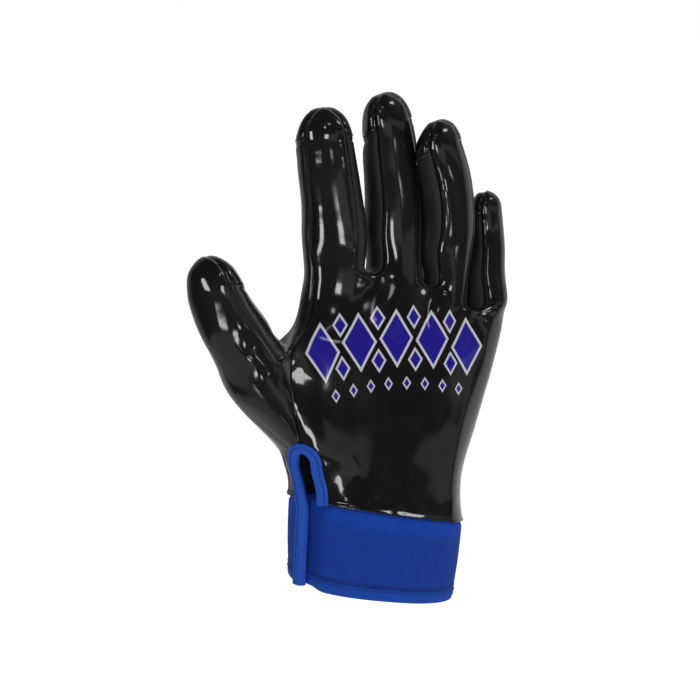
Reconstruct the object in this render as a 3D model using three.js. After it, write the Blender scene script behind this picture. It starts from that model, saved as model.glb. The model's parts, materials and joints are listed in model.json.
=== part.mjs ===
// Athletic glove for the left hand, in the form that it has when worn.
// Millimetres. X runs across the hand from the thumb side to the little finger side,
// Y from the palm to the back of the hand, Z from the wrist to the fingertips.
// The origin is the centre of the wrist opening.
// One smooth skin is worked out for the whole glove from the tables below,
// then parted along its seams into panels, and each panel gets its thickness inwards.

import * as THREE from 'three';

// Cloth and seams. ROUNDNESS is the power of the rounded sections: 2 is an ellipse, more is squarer.
// SIDE_SHARE is how far out, in half widths, a section's front and back meet its sides
const WALL = 1.2;
const SEAM_GAP = 0.46;
const ROUNDNESS = 2.4;
const SIDE_SHARE = 0.77;
const SKIN_FIT_ROUNDS = 12;

// Slit at the thumb side of the wrist, and the tape that binds it
const SLIT_HALF_WIDTH = 5.0;
const SLIT_WRIST_HALF_WIDTH = 4.3;
const SLIT_ROUND_LENGTH = 9;
const SLIT_NARROW_LENGTH = 27;
const SLIT_TOP_MARGIN = 1;
const SLIT_ROW = 3;
const MOSTLY_LEVEL = 0.6;
const TAPE_THICK = 1.0;
const TAPE_COVER = 3.6;
const TAPE_INNER_COVER = 1.6;
const TAPE_CLEAR = 0.5;
const TAPE_BAND_STEPS = 6;
const TAPE_TOP_LIFT = 1.0;
const TAPE_SHOULDER_SHARE = 0.6;

// Wrist band and its hem
const BAND_THICK = 1.6;
const BAND_INSET = 0.9;
const BAND_TOP_GAP = 0.5;
const HEM_HEIGHT = 5.5;
const HEM_THICK = 2.4;
const HEM_RAISE = 0.4;
const BAND_STEPS = 54;
const BAND_ROWS = 3;
const EDGE_ANGLE_TOP = 206;
const EDGE_ANGLE_BOTTOM = 199;
const TUCK_DEPTH = 4.4;
const TUCK_LENGTH_ANGLE = 18;
const TUCK_START_ANGLE = 30;
const TUCK_END_ANGLE = 4;
const EDGE_LOOK_ANGLE = 3;
const WRIST_BOTTOM = { left: -41.2, right: 37.6, zLeft: 6.0, zRight: -5.6, deep: 23.5, lean: 0.16 };

// Palm and back of the hand: one row for each level from the wrist to the knuckles.
// left and right: where the two edges lie; seam: where the thumb seam crosses the level;
// deep: half the thickness; mound and heel: how far the thumb mound and the heel swell;
// arch: how far the middle of the level stands above its ends;
// follow: how far the columns have moved over to the spacing of the fingers;
// dip: how much thinner the hand is below each crotch
const PALM_COLUMNS = [
  'zLeft', 'zRight', 'left', 'right', 'seam', 'deep', 'mound', 'heel', 'arch', 'follow', 'dip',
];
const PALM_ROWS = [
  [43.5, 29.0, -41.1, 43.0, -35.0, 22.0, 0, 0, 0, 0.0, 0.00],
  [51.5, 37.5, -41.0, 42.0, -36.0, 21.0, 1, 0, 0, 0.0, 0.00],
  [59.8, 46.5, -43.5, 42.0, -38.6, 19.5, 2, 1, 0, 0.1, 0.00],
  [68.5, 56.0, -49.0, 43.8, -41.2, 18.0, 4, 2, 0, 0.2, 0.00],
  [84.0, 69.0, -62.0, 48.2, -44.3, 16.5, 5, 3, 1, 0.4, 0.00],
  [99.0, 83.0, -62.0, 52.6, -45.6, 15.5, 3, 2, 2, 0.6, 0.00],
  [114.5, 96.0, -42.8, 56.6, -43.6, 14.5, 0, 1, 3, 0.8, 0.00],
  [124.5, 108.0, -37.6, 60.0, -34.5, 14.0, 0, 0, 4, 0.9, 0.04],
  [137.0, 118.0, -34.7, 62.4, -31.5, 13.2, 0, 0, 6, 1.0, 0.14],
].map((row) => namedRow(PALM_COLUMNS, row));
const SLIT_TOP = PALM_ROWS[SLIT_ROW].zLeft;
const MOUND_X = -24;
const HEEL_X = 26;
const SWELL_REACH = 17;
const CROTCH_HALF_DEPTH = 8.5;
const FIRST_COLUMN_SHARE = 0.17;
const LAST_COLUMN_SHARE = 0.86;

// Height of the crotch on each side of each finger, from the index finger's outer side
// to the little finger's outer side
const CROTCH_Z = [148, 148.5, 141.8, 129.2, 130];

// Fingers and thumb: one row for each cross-section, from the base to the last one before the tip,
// then the tip. turn is how far the front of the section faces towards the little finger, and lean
// how far the section leans to the thumb side where it doesn't follow the run of the centres, in degrees
const DIGIT_COLUMNS = ['x', 'y', 'z', 'wide', 'deep', 'turn', 'lean'];
const DIGITS = [
  {
    name: 'index',
    rows: [
      [-19.8, -2.0, 148, 27.8, 24.0, -14],
      [-19.9, -2.5, 163, 30.0, 24.5, -20],
      [-21.6, -4.5, 178, 28.2, 24.0, -18],
      [-24.8, -8.0, 193, 27.2, 21.5, -16],
      [-27.2, -11.5, 204, 26.4, 20.0, -14],
      [-28.6, -14.0, 211.5, 25.4, 18.5, -13],
    ],
    tip: { x: -29.6, y: -16.0, z: 222.4 },
  },
  {
    name: 'middle',
    rows: [
      [9.6, 0.0, 147, 25.8, 24.0, 4],
      [9.1, -0.5, 163, 25.8, 24.0, 6],
      [8.4, -2.5, 177, 25.8, 23.5, 8],
      [6.0, -7.0, 193, 25.4, 21.5, 8],
      [3.3, -10.5, 206, 24.8, 20.0, 8],
      [1.0, -13.5, 216, 23.0, 18.0, 8],
    ],
    tip: { x: -2.6, y: -16.0, z: 228.2 },
  },
  {
    name: 'ring',
    rows: [
      [34.3, -0.5, 138, 18.6, 22.5, 6],
      [34.0, -3.5, 154, 21.8, 22.0, 8],
      [34.1, -7.0, 168, 22.8, 21.5, 10],
      [31.2, -13.0, 184, 22.0, 20.0, 10],
      [27.0, -17.5, 197, 21.2, 18.5, 10],
      [24.0, -20.0, 206, 20.0, 16.5, 10],
    ],
    tip: { x: 21.4, y: -21.5, z: 216.0 },
  },
  {
    name: 'pinky',
    rows: [
      [54.6, -2.5, 128, 16.2, 19.5, 8],
      [54.5, -1.5, 141, 16.0, 19.0, 10],
      [54.5, -0.5, 153, 16.0, 18.5, 12],
      [54.1, -0.5, 165, 15.8, 17.0, 12],
      [52.9, -2.5, 174.5, 15.2, 15.5, 12],
    ],
    tip: { x: 51.6, y: -4.5, z: 182.6 },
  },
].map(namedDigit);
const THUMB = namedDigit({
  name: 'thumb',
  rows: [
    [-58.0, -8.0, 103.0, 34.8, 30.0, -14, 55],
    [-65.6, -12.0, 115.4, 30.8, 26.5, -20, 40],
    [-73.3, -16.0, 127.0, 28.6, 24.0, -25, 29],
    [-79.0, -19.0, 138.1, 27.2, 22.0, -29, 20],
    [-82.3, -20.7, 146.0, 25.4, 20.0, -30, 20],
  ],
  tip: { x: -86.0, y: -22.0, z: 157.6 },
});
const TIP_RING_WIDTH = 0.79;
const TIP_RING_SETBACK = 0.17;
const CAP_BANDS = 1;
const CAP_SLANT_DEGREES = 32;
const CAP_SLANT_EASE = 0.5;
const TIP_SLANT_DEGREES = 30;

const STRIP_NAMES = [
  'fourchette_thumb_index', 'fourchette_index_middle', 'fourchette_middle_ring', 'fourchette_ring_pinky',
];
const THUMB_BAND_FIRST = 3;
const THUMB_BAND_LAST = 5;

const COLORS = {
  silicone: { color: 0x181818, roughness: 0.18, metalness: 0 },
  knit: { color: 0x1c1c1e, roughness: 0.85, metalness: 0 },
  band: { color: 0x1b3b8d, roughness: 0.9, metalness: 0 },
  tape: { color: 0x2450b4, roughness: 0.85, metalness: 0 },
};

// Small helpers
function namedRow(columns, row) {
  return Object.fromEntries(row.map((value, i) => [columns[i], value]));
}

function namedDigit({ name, rows, tip }) {
  return { name, rows: rows.map((row) => namedRow(DIGIT_COLUMNS, row)), tip };
}

const mix = (a, b, share) => a + (b - a) * share;
const radians = THREE.MathUtils.degToRad;
const rounded = (u) => Math.pow(1 - Math.pow(Math.min(Math.abs(u), 1), ROUNDNESS), 1 / ROUNDNESS);

// Cage: the corner points and four-sided faces that the smooth skin passes through
class Cage {
  constructor() {
    this.points = [];
    this.faces = [];
  }

  point(x, y, z) {
    this.points.push(new THREE.Vector3(x, y, z));
    return this.points.length - 1;
  }

  face(corners, panel) {
    this.faces.push({ corners, panel });
  }
}

// A digit's cross-section: its centre, the way along, across and towards the back
function sectionFrame(rows, tip, index) {
  const here = rows[index];
  const before = rows[Math.max(index - 1, 0)];
  const after = index + 1 < rows.length ? rows[index + 1] : tip;
  const along = new THREE.Vector3(after.x - before.x, after.y - before.y, after.z - before.z).normalize();
  if (here.lean !== undefined) {
    along.x = -Math.sin(radians(here.lean));
    along.z = Math.cos(radians(here.lean));
    along.normalize();
  }
  const across = new THREE.Vector3(0, 1, 0).cross(along).normalize();
  across.applyAxisAngle(along, radians(here.turn));
  const back = new THREE.Vector3().crossVectors(along, across);
  return { centre: new THREE.Vector3(here.x, here.y, here.z), along, across, back };
}

function sectionPoint(frame, wide, deep, share, depthShare, slant) {
  const drop = -slant * (depthShare + SIDE_SHARE) * deep * 0.5;
  return frame.centre.clone()
    .addScaledVector(frame.across, share * wide * 0.5)
    .addScaledVector(frame.back, depthShare * deep * 0.5)
    .addScaledVector(frame.along, drop);
}

// Shares of the half width and half depth at each corner of a section, front from left to right,
// right side, back from right to left, left side
function ringShares(frontQuads) {
  const shares = [];
  for (let i = 0; i <= frontQuads; i += 1) {
    const u = mix(-SIDE_SHARE, SIDE_SHARE, i / frontQuads);
    shares.push([u, -rounded(u)]);
  }
  const back = shares.map(([u, v]) => [-u, -v]);
  return [...shares, [1, 0], ...back, [-1, 0]];
}

function addRing(cage, frame, wide, deep, shares, slant) {
  return shares.map(([u, v]) => {
    const p = sectionPoint(frame, wide, deep, u, v, slant);
    return cage.point(p.x, p.y, p.z);
  });
}

// Rings of a digit above its base, the last one drawn in towards the tip, and the fan of faces round
// the tip. The ring under the cap's edge slants, and the one below it slants by part of that
function addDigit(cage, digit, firstRow, baseRing, frontQuads, panelOf) {
  const shares = ringShares(frontQuads);
  const rows = digit.rows;
  const last = rows.length - 1;
  const capSlant = Math.tan(radians(CAP_SLANT_DEGREES));
  const bands = last - firstRow + 2;
  let ring = baseRing;
  const closeBand = (next, band) => {
    const inCap = band >= bands - CAP_BANDS;
    for (let i = 0; i < ring.length; i += 1) {
      const j = (i + 1) % ring.length;
      cage.face([ring[i], ring[j], next[j], next[i]], panelOf(i, inCap));
    }
    ring = next;
  };
  for (let r = firstRow; r <= last; r += 1) {
    const frame = sectionFrame(rows, digit.tip, r);
    const slant = capSlant * Math.max(1 - (last - r) * CAP_SLANT_EASE, 0);
    closeBand(addRing(cage, frame, rows[r].wide, rows[r].deep, shares, slant), r - firstRow);
  }
  const end = sectionFrame(rows, digit.tip, last);
  const tip = new THREE.Vector3(digit.tip.x, digit.tip.y, digit.tip.z);
  end.centre.lerp(tip, 1 - TIP_RING_SETBACK * rows[last].wide / end.centre.distanceTo(tip));
  const wide = rows[last].wide * TIP_RING_WIDTH;
  const deep = rows[last].deep * TIP_RING_WIDTH;
  closeBand(addRing(cage, end, wide, deep, shares, Math.tan(radians(TIP_SLANT_DEGREES))), bands - 1);
  const apex = cage.point(tip.x, tip.y, tip.z);
  const count = ring.length;
  for (let i = frontQuads % 2; i < count; i += 2) {
    cage.face([ring[i], ring[(i + 1) % count], ring[(i + 2) % count], apex], panelOf(i, true));
  }
}

// Level rows of the palm and the back
const FRONT_COUNT = DIGITS.length * 3;

function knuckleX() {
  const xs = [];
  for (const digit of DIGITS) {
    const base = digit.rows[0];
    const reach = SIDE_SHARE * base.wide * 0.5;
    xs.push(base.x - reach, base.x, base.x + reach);
  }
  return xs;
}

function swell(row, x) {
  const bump = (centre) => Math.exp(-Math.pow((x - centre) / SWELL_REACH, 2));
  return row.mound * bump(MOUND_X) + row.heel * bump(HEEL_X);
}

function palmRing(cage, row, knuckles, index) {
  const centre = (row.left + row.right) / 2;
  const half = (row.right - row.left) / 2;
  const lastX = mix(centre, row.right, LAST_COLUMN_SHARE);
  const span = knuckles[FRONT_COUNT - 1] - knuckles[0];
  const level = (x) => {
    const share = (x - row.seam) / (row.right - row.seam);
    const within = Math.min(Math.max(share, 0), 1);
    return mix(row.zLeft, row.zRight, share) + 4 * row.arch * within * (1 - within);
  };
  const front = [];
  const back = [];
  for (let i = 0; i < FRONT_COUNT; i += 1) {
    const even = i === 0 ? 0 : mix(FIRST_COLUMN_SHARE, 1, (i - 1) / (FRONT_COUNT - 2));
    const knuckle = (knuckles[i] - knuckles[0]) / span;
    const x = mix(row.seam, lastX, mix(even, knuckle, row.follow));
    const atCrotch = index === THUMB_BAND_LAST + 1 && i === 0;
    const belowCrotch = i % 3 !== 1 && i > 0 && i < FRONT_COUNT - 1;
    const full = row.deep * rounded((x - centre) / half) * (belowCrotch ? 1 - row.dip : 1);
    const thick = atCrotch ? CROTCH_HALF_DEPTH : full;
    front.push(cage.point(x, -thick - swell(row, x), level(x)));
    back.push([x, thick, level(x)]);
  }
  const right = cage.point(row.right, 0, level(row.right));
  const backPoints = back.reverse().map(([x, y, z]) => cage.point(x, y, z));
  const insideThumb = index > THUMB_BAND_FIRST && index <= THUMB_BAND_LAST;
  const left = insideThumb ? null : cage.point(row.left, 0, level(row.left));
  return [...front, right, ...backPoints, left];
}

// Base of a finger: its corners stand at the heights of the crotches on its two sides
function fingerBase(cage, digit, index) {
  const base = digit.rows[0];
  const shares = ringShares(2);
  const turn = radians(base.turn);
  return shares.map(([u, v]) => {
    const x = u * base.wide * 0.5;
    const y = v * base.deep * 0.5;
    const z = mix(CROTCH_Z[index], CROTCH_Z[index + 1], (u + 1) / 2);
    return cage.point(
      base.x + x * Math.cos(turn) - y * Math.sin(turn),
      base.y + x * Math.sin(turn) + y * Math.cos(turn),
      z,
    );
  });
}

function fingerPanel(index, column, inCap) {
  const name = DIGITS[index].name;
  if (column < 2) {
    return 'palm_panel';
  }
  const lastFinger = index === DIGITS.length - 1;
  if (lastFinger && column === 2) {
    return 'palm_panel';
  }
  if (inCap) {
    return `tip_cap_${name}`;
  }
  if (column >= 6) {
    return STRIP_NAMES[index];
  }
  if (column >= 4 || lastFinger) {
    return 'back_panel';
  }
  return STRIP_NAMES[index + 1];
}

function thumbPanel(column, inCap) {
  if (column < 3 || column === 9) {
    return 'thumb_panel';
  }
  if (inCap) {
    return 'tip_cap_thumb';
  }
  return column < 5 ? STRIP_NAMES[0] : 'back_panel';
}

function palmPanel(band, column) {
  if (column <= FRONT_COUNT - 1) {
    return 'palm_panel';
  }
  const sideColumn = column >= 2 * FRONT_COUNT;
  if (!sideColumn) {
    return 'back_panel';
  }
  if (band > THUMB_BAND_LAST) {
    return STRIP_NAMES[0];
  }
  return column === 2 * FRONT_COUNT ? 'back_panel' : 'thumb_panel';
}

function buildCage() {
  const cage = new Cage();
  const knuckles = knuckleX();
  const rings = PALM_ROWS.map((row, index) => palmRing(cage, row, knuckles, index));
  const bases = DIGITS.map((digit, index) => fingerBase(cage, digit, index));
  const front = bases.flatMap((ring) => ring.slice(0, 3));
  const back = bases.flatMap((ring) => ring.slice(4, 7).reverse()).reverse();
  rings.push([...front, bases[DIGITS.length - 1][3], ...back, bases[0][7]]);
  const columns = rings[0].length;
  for (let band = 0; band < rings.length - 1; band += 1) {
    for (let i = 0; i < columns; i += 1) {
      const atThumb = band >= THUMB_BAND_FIRST && band <= THUMB_BAND_LAST && i >= columns - 2;
      if (!atThumb) {
        const j = (i + 1) % columns;
        const corners = [rings[band][i], rings[band][j], rings[band + 1][j], rings[band + 1][i]];
        cage.face(corners, palmPanel(band, i));
      }
    }
  }
  for (let k = 0; k + 1 < bases.length; k += 1) {
    const left = bases[k];
    const right = bases[k + 1];
    cage.face([left[2], right[0], right[7], left[3]], STRIP_NAMES[k + 1]);
    cage.face([left[3], right[7], right[6], left[4]], STRIP_NAMES[k + 1]);
  }
  DIGITS.forEach((digit, k) => {
    addDigit(cage, digit, 1, bases[k], 2, (column, inCap) => fingerPanel(k, column, inCap));
  });
  addDigit(cage, THUMB, 0, thumbBase(rings), 3, thumbPanel);
  return cage;
}

// The thumb starts from the hole that the palm rows leave at their left edge:
// its front side, the crotch above, its back side and the outer side below
function thumbBase(rings) {
  const hole = rings.slice(THUMB_BAND_FIRST, THUMB_BAND_LAST + 2);
  const columns = rings[0].length;
  const frontSide = hole.map((ring) => ring[0]);
  const backSide = hole.map((ring) => ring[columns - 2]).reverse();
  const crotch = hole[hole.length - 1][columns - 1];
  const outer = hole[0][columns - 1];
  return [...frontSide, crotch, ...backSide, outer];
}

// Smooth skin by Catmull and Clark's rule
const edgeKey = (a, b) => (a < b ? `${a} ${b}` : `${b} ${a}`);

function edgeTable(faces) {
  const edges = new Map();
  faces.forEach((face, index) => {
    const n = face.corners.length;
    for (let i = 0; i < n; i += 1) {
      const a = face.corners[i];
      const b = face.corners[(i + 1) % n];
      const key = edgeKey(a, b);
      if (!edges.has(key)) {
        edges.set(key, { a, b, faces: [] });
      }
      edges.get(key).faces.push(index);
    }
  });
  return edges;
}

function neighbours(cage) {
  const table = cage.points.map(() => ({ edge: new Set(), opposite: [], border: [] }));
  for (const { a, b, faces } of edgeTable(cage.faces).values()) {
    table[a].edge.add(b);
    table[b].edge.add(a);
    if (faces.length === 1) {
      table[a].border.push(b);
      table[b].border.push(a);
    }
  }
  for (const { corners } of cage.faces) {
    corners.forEach((corner, i) => table[corner].opposite.push(corners[(i + 2) % 4]));
  }
  return table;
}

// Where each corner point of the cage comes to lie on the smooth skin
function limitPoints(cage) {
  return neighbours(cage).map(({ edge, opposite, border }, index) => {
    const own = cage.points[index];
    const sum = new THREE.Vector3();
    if (border.length === 2) {
      sum.addScaledVector(own, 4 / 6);
      border.forEach((other) => sum.addScaledVector(cage.points[other], 1 / 6));
      return sum;
    }
    const n = edge.size;
    sum.addScaledVector(own, n * n);
    edge.forEach((other) => sum.addScaledVector(cage.points[other], 4));
    opposite.forEach((other) => sum.add(cage.points[other]));
    return sum.divideScalar(n * (n + 5));
  });
}

// Moves the cage out until the smooth skin passes through the tables' own points
function fitCage(cage) {
  const wanted = cage.points.map((p) => p.clone());
  for (let round = 0; round < SKIN_FIT_ROUNDS; round += 1) {
    const reached = limitPoints(cage);
    cage.points.forEach((p, i) => p.add(wanted[i]).sub(reached[i]));
  }
}

function subdivide(cage) {
  const fine = new Cage();
  const edges = edgeTable(cage.faces);
  const pointFaces = cage.points.map(() => []);
  cage.faces.forEach((face, index) => face.corners.forEach((c) => pointFaces[c].push(index)));
  const faceCentre = cage.faces.map(({ corners }) => {
    const centre = new THREE.Vector3();
    corners.forEach((c) => centre.addScaledVector(cage.points[c], 1 / corners.length));
    return centre;
  });
  neighbours(cage).forEach(({ edge, border }, index) => {
    const own = cage.points[index];
    const next = new THREE.Vector3();
    if (border.length === 2) {
      next.addScaledVector(own, 0.75);
      border.forEach((other) => next.addScaledVector(cage.points[other], 0.125));
    } else {
      const n = edge.size;
      pointFaces[index].forEach((f) => next.addScaledVector(faceCentre[f], 1 / (n * n)));
      edge.forEach((other) => next.addScaledVector(cage.points[other], 1 / (n * n)));
      next.addScaledVector(own, (n - 2) / n);
    }
    fine.points.push(next);
  });
  const middleOf = new Map();
  for (const [key, { a, b, faces }] of edges) {
    const middle = cage.points[a].clone().add(cage.points[b]);
    if (faces.length === 2) {
      faces.forEach((f) => middle.add(faceCentre[f]));
    }
    middle.divideScalar(faces.length === 2 ? 4 : 2);
    middleOf.set(key, fine.point(middle.x, middle.y, middle.z));
  }
  cage.faces.forEach(({ corners, panel }, f) => {
    const centre = fine.point(faceCentre[f].x, faceCentre[f].y, faceCentre[f].z);
    corners.forEach((corner, i) => {
      const after = corners[(i + 1) % 4];
      const before = corners[(i + 3) % 4];
      const next = middleOf.get(edgeKey(corner, after));
      const last = middleOf.get(edgeKey(before, corner));
      fine.face([corner, next, centre, last], panel);
    });
  });
  return fine;
}

function faceNormal(points, corners) {
  const first = new THREE.Vector3().subVectors(points[corners[2]], points[corners[0]]);
  const second = new THREE.Vector3().subVectors(points[corners[3]], points[corners[1]]);
  return first.cross(second);
}

function pointNormals(skin) {
  const normals = skin.points.map(() => new THREE.Vector3());
  for (const { corners } of skin.faces) {
    const normal = faceNormal(skin.points, corners);
    corners.forEach((c) => normals[c].add(normal));
  }
  return normals.map((n) => n.normalize());
}

// Half the width of the slit between the panel edges, by height below its top
function slitHalfWidth(below) {
  if (below <= 0) {
    return 0;
  }
  const arch = Math.min(below / SLIT_ROUND_LENGTH, 1);
  const narrowed = Math.min(below / SLIT_NARROW_LENGTH, 1);
  const open = mix(SLIT_HALF_WIDTH, SLIT_WRIST_HALF_WIDTH, narrowed);
  return open * Math.sqrt(1 - (1 - arch) * (1 - arch));
}

// A panel of the skin: its own points, normals, faces and border, with the border drawn in
// by half the seam gap
function cutPanel(skin, normals, name) {
  const faces = skin.faces.filter((face) => face.panel === name);
  const index = new Map();
  const points = [];
  const pointNormal = [];
  const local = faces.map(({ corners }) => corners.map((corner) => {
    if (!index.has(corner)) {
      index.set(corner, points.length);
      points.push(skin.points[corner].clone());
      pointNormal.push(normals[corner]);
    }
    return index.get(corner);
  }));
  const border = [];
  const edges = edgeTable(local.map((corners) => ({ corners })));
  const inward = points.map(() => []);
  for (const { a, b, faces: owners } of edges.values()) {
    if (owners.length === 1) {
      const corners = local[owners[0]];
      const forward = corners[(corners.indexOf(a) + 1) % 4] === b;
      const edge = forward ? [a, b] : [b, a];
      border.push(edge);
      const way = new THREE.Vector3().subVectors(points[edge[1]], points[edge[0]]).normalize();
      const side = faceNormal(points, corners).normalize().cross(way);
      edge.forEach((p) => inward[p].push(side));
    }
  }
  const original = points.map((p) => p.clone());
  inward.forEach((sides, p) => {
    if (sides.length === 2) {
      const middle = sides[0].clone().add(sides[1]);
      const scale = 1 / Math.max(1 + sides[0].dot(sides[1]), 0.5);
      points[p].addScaledVector(middle, scale * SEAM_GAP / 2);
    }
  });
  return { name, points, normals: pointNormal, faces: local, border, index, original, slide: [] };
}

// Slides the points of a panel's slit edge along the skin towards their neighbours in the panel
function openSlit(panel, slitPoints) {
  const onSlit = new Set(slitPoints.map((p) => panel.index.get(p)));
  for (const { a, b } of edgeTable(panel.faces.map((corners) => ({ corners }))).values()) {
    if (onSlit.has(a) !== onSlit.has(b)) {
      const from = onSlit.has(a) ? a : b;
      const to = from === a ? b : a;
      const way = new THREE.Vector3().subVectors(panel.original[to], panel.original[from]).normalize();
      if (Math.abs(way.z) < MOSTLY_LEVEL) {
        panel.points[from].addScaledVector(way, slitHalfWidth(SLIT_TOP - panel.original[from].z));
        panel.slide[from] = way;
      }
    }
  }
}

// Solid of a panel: outer face, inner face one wall further in, and the edge between them
function shellGeometry(panel) {
  const count = panel.points.length;
  const positions = [];
  panel.points.forEach((p) => positions.push(p.x, p.y, p.z));
  panel.points.forEach((p, i) => {
    const q = p.clone().addScaledVector(panel.normals[i], -WALL);
    positions.push(q.x, q.y, q.z);
  });
  const triangles = [];
  for (const [a, b, c, d] of panel.faces) {
    const firstDiagonal = panel.points[a].distanceTo(panel.points[c]);
    const secondDiagonal = panel.points[b].distanceTo(panel.points[d]);
    const halves = firstDiagonal < secondDiagonal ? [[a, b, c], [a, c, d]] : [[a, b, d], [b, c, d]];
    for (const [i, j, k] of halves) {
      triangles.push(i, j, k, i + count, k + count, j + count);
    }
  }
  for (const [a, b] of panel.border) {
    triangles.push(b, a, a + count, b, a + count, b + count);
  }
  return meshGeometry(positions, triangles);
}

// Turns the triangles round where they face into the solid
function facingOut(positions, triangles) {
  const corner = (index) => new THREE.Vector3().fromArray(positions, index * 3);
  let volume = 0;
  for (let t = 0; t < triangles.length; t += 3) {
    const [a, b, c] = [0, 1, 2].map((k) => corner(triangles[t + k]));
    volume += a.dot(b.cross(c));
  }
  return volume > 0 ? triangles : triangles.slice().reverse();
}

function meshGeometry(positions, triangles) {
  const geometry = new THREE.BufferGeometry();
  geometry.setAttribute('position', new THREE.Float32BufferAttribute(positions, 3));
  geometry.setIndex(facingOut(positions, triangles));
  geometry.computeVertexNormals();
  return geometry;
}

// Solid swept through stations, each a closed loop of the same number of points
function sweptGeometry(loops) {
  const size = loops[0].length;
  const positions = loops.flat().flatMap((p) => [p.x, p.y, p.z]);
  const triangles = [];
  for (let s = 0; s + 1 < loops.length; s += 1) {
    for (let i = 0; i < size; i += 1) {
      const j = (i + 1) % size;
      const a = s * size + i;
      const b = s * size + j;
      triangles.push(a, b, b + size, a, b + size, a + size);
    }
  }
  const end = (loops.length - 1) * size;
  const flat = THREE.ShapeUtils.triangulateShape(flatLoop(loops[0]), []);
  for (const [a, b, c] of flat) {
    triangles.push(c, b, a, end + a, end + b, end + c);
  }
  return meshGeometry(positions, triangles);
}

function flatLoop(loop) {
  const origin = loop[0];
  const across = new THREE.Vector3().subVectors(loop[1], origin).normalize();
  const normal = new THREE.Vector3();
  loop.forEach((p, i) => normal.add(new THREE.Vector3().crossVectors(p, loop[(i + 1) % loop.length])));
  const up = new THREE.Vector3().crossVectors(normal.normalize(), across);
  return loop.map((p) => {
    const offset = new THREE.Vector3().subVectors(p, origin);
    return new THREE.Vector2(offset.dot(across), offset.dot(up));
  });
}

// Wrist band: its plan at the top and bottom, the angle growing from the right edge round the front
function wristPoint(angle, share, inset) {
  const top = PALM_ROWS[0];
  const bottom = WRIST_BOTTOM;
  const left = mix(bottom.left, top.left, share) + inset;
  const right = mix(bottom.right, top.right, share) - inset;
  const deep = mix(bottom.deep, top.deep, share) - inset;
  const across = Math.cos(radians(angle));
  const depth = Math.sin(radians(angle));
  const round = 2 / ROUNDNESS;
  const u = Math.sign(across) * Math.pow(Math.abs(across), round);
  const v = Math.sign(depth) * Math.pow(Math.abs(depth), round);
  const x = (left + right) / 2 + u * (right - left) / 2;
  const y = v * deep;
  const spread = (x - top.seam) / (top.right - top.seam);
  const topZ = mix(top.zLeft, top.zRight, spread) - BAND_TOP_GAP;
  const bottomSpread = (x - bottom.left) / (bottom.right - bottom.left);
  const bottomZ = mix(bottom.zLeft, bottom.zRight, bottomSpread) + bottom.lean * y;
  return new THREE.Vector3(x, y, mix(bottomZ, topZ, share));
}

// How far the far end of the band has gone in under its near end
function tuckInset(angle, edgeAngle) {
  const past = edgeAngle - 360 - angle;
  return TUCK_DEPTH * THREE.MathUtils.smoothstep(past, -TUCK_START_ANGLE, -TUCK_END_ANGLE);
}

// Strip of the wrist band between two shares of its height
function bandGeometry(lowShare, highShare, thick, raise, rows) {
  const loops = [];
  for (let s = 0; s <= BAND_STEPS; s += 1) {
    const outer = [];
    const inner = [];
    for (let r = 0; r <= rows; r += 1) {
      const share = mix(lowShare, highShare, r / rows);
      const edge = mix(EDGE_ANGLE_BOTTOM, EDGE_ANGLE_TOP, share);
      const angle = mix(edge, edge - 360 - TUCK_LENGTH_ANGLE, s / BAND_STEPS);
      const inset = BAND_INSET + tuckInset(angle, edge) - raise;
      outer.push(wristPoint(angle, share, inset));
      inner.push(wristPoint(angle, share, inset + thick));
    }
    loops.push([...outer, ...inner.reverse()]);
  }
  return sweptGeometry(loops);
}

// Tape folded over an edge: each station has its point on the edge, the way into the cloth,
// the outward normal, the thickness that the tape goes round and how far it is lifted off a bulge
function tapeLoop({ point, inward, normal, thick, lift = 0 }) {
  const low = -thick - TAPE_CLEAR;
  const nose = -TAPE_THICK - TAPE_CLEAR;
  const shoulder = nose + TAPE_THICK * TAPE_SHOULDER_SHARE;
  const profile = [
    [TAPE_COVER, TAPE_CLEAR + lift],
    [TAPE_COVER, TAPE_CLEAR + lift + TAPE_THICK],
    [shoulder, TAPE_CLEAR + lift + TAPE_THICK],
    [nose, TAPE_CLEAR + lift],
    [nose, low],
    [shoulder, low - TAPE_THICK],
    [TAPE_INNER_COVER, low - TAPE_THICK],
    [TAPE_INNER_COVER, low],
    [-TAPE_CLEAR, low],
    [-TAPE_CLEAR, TAPE_CLEAR + lift],
  ];
  return profile.map(([into, out]) => point.clone()
    .addScaledVector(inward, into)
    .addScaledVector(normal, out));
}

function squareTo(normal, way) {
  return normal.clone().addScaledVector(way, -normal.dot(way)).normalize();
}

// Stations of the tape along a panel's edge of the slit, from the wrist upwards
function slitStations(panel, slitPoints) {
  const own = slitPoints.filter((p) => panel.original[panel.index.get(p)].z < SLIT_TOP - SLIT_TOP_MARGIN)
    .map((p) => panel.index.get(p));
  own.sort((a, b) => panel.points[a].z - panel.points[b].z);
  return own.map((p) => {
    const inward = panel.slide[p];
    return { point: panel.points[p], inward, normal: squareTo(panel.normals[p], inward), thick: WALL };
  });
}

function stationBetween(a, b) {
  const blend = (key) => new THREE.Vector3().addVectors(a[key], b[key]);
  return {
    point: blend('point').multiplyScalar(0.5),
    inward: blend('inward').normalize(),
    normal: blend('normal').normalize(),
    thick: WALL,
    lift: TAPE_TOP_LIFT,
  };
}

// Stations down the near end of the wrist band, over the band and its hem
function bandEdgeStations() {
  const stations = [];
  for (let s = 0; s <= TAPE_BAND_STEPS; s += 1) {
    const share = 1 - s / TAPE_BAND_STEPS;
    const edge = mix(EDGE_ANGLE_BOTTOM, EDGE_ANGLE_TOP, share);
    const inset = BAND_INSET - HEM_RAISE;
    const point = wristPoint(edge, share, inset);
    const inward = wristPoint(edge - EDGE_LOOK_ANGLE, share, inset).sub(point).setZ(0).normalize();
    const normal = new THREE.Vector3(-inward.y, inward.x, 0);
    stations.push({ point, inward, normal, thick: HEM_THICK });
  }
  return stations;
}

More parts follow.
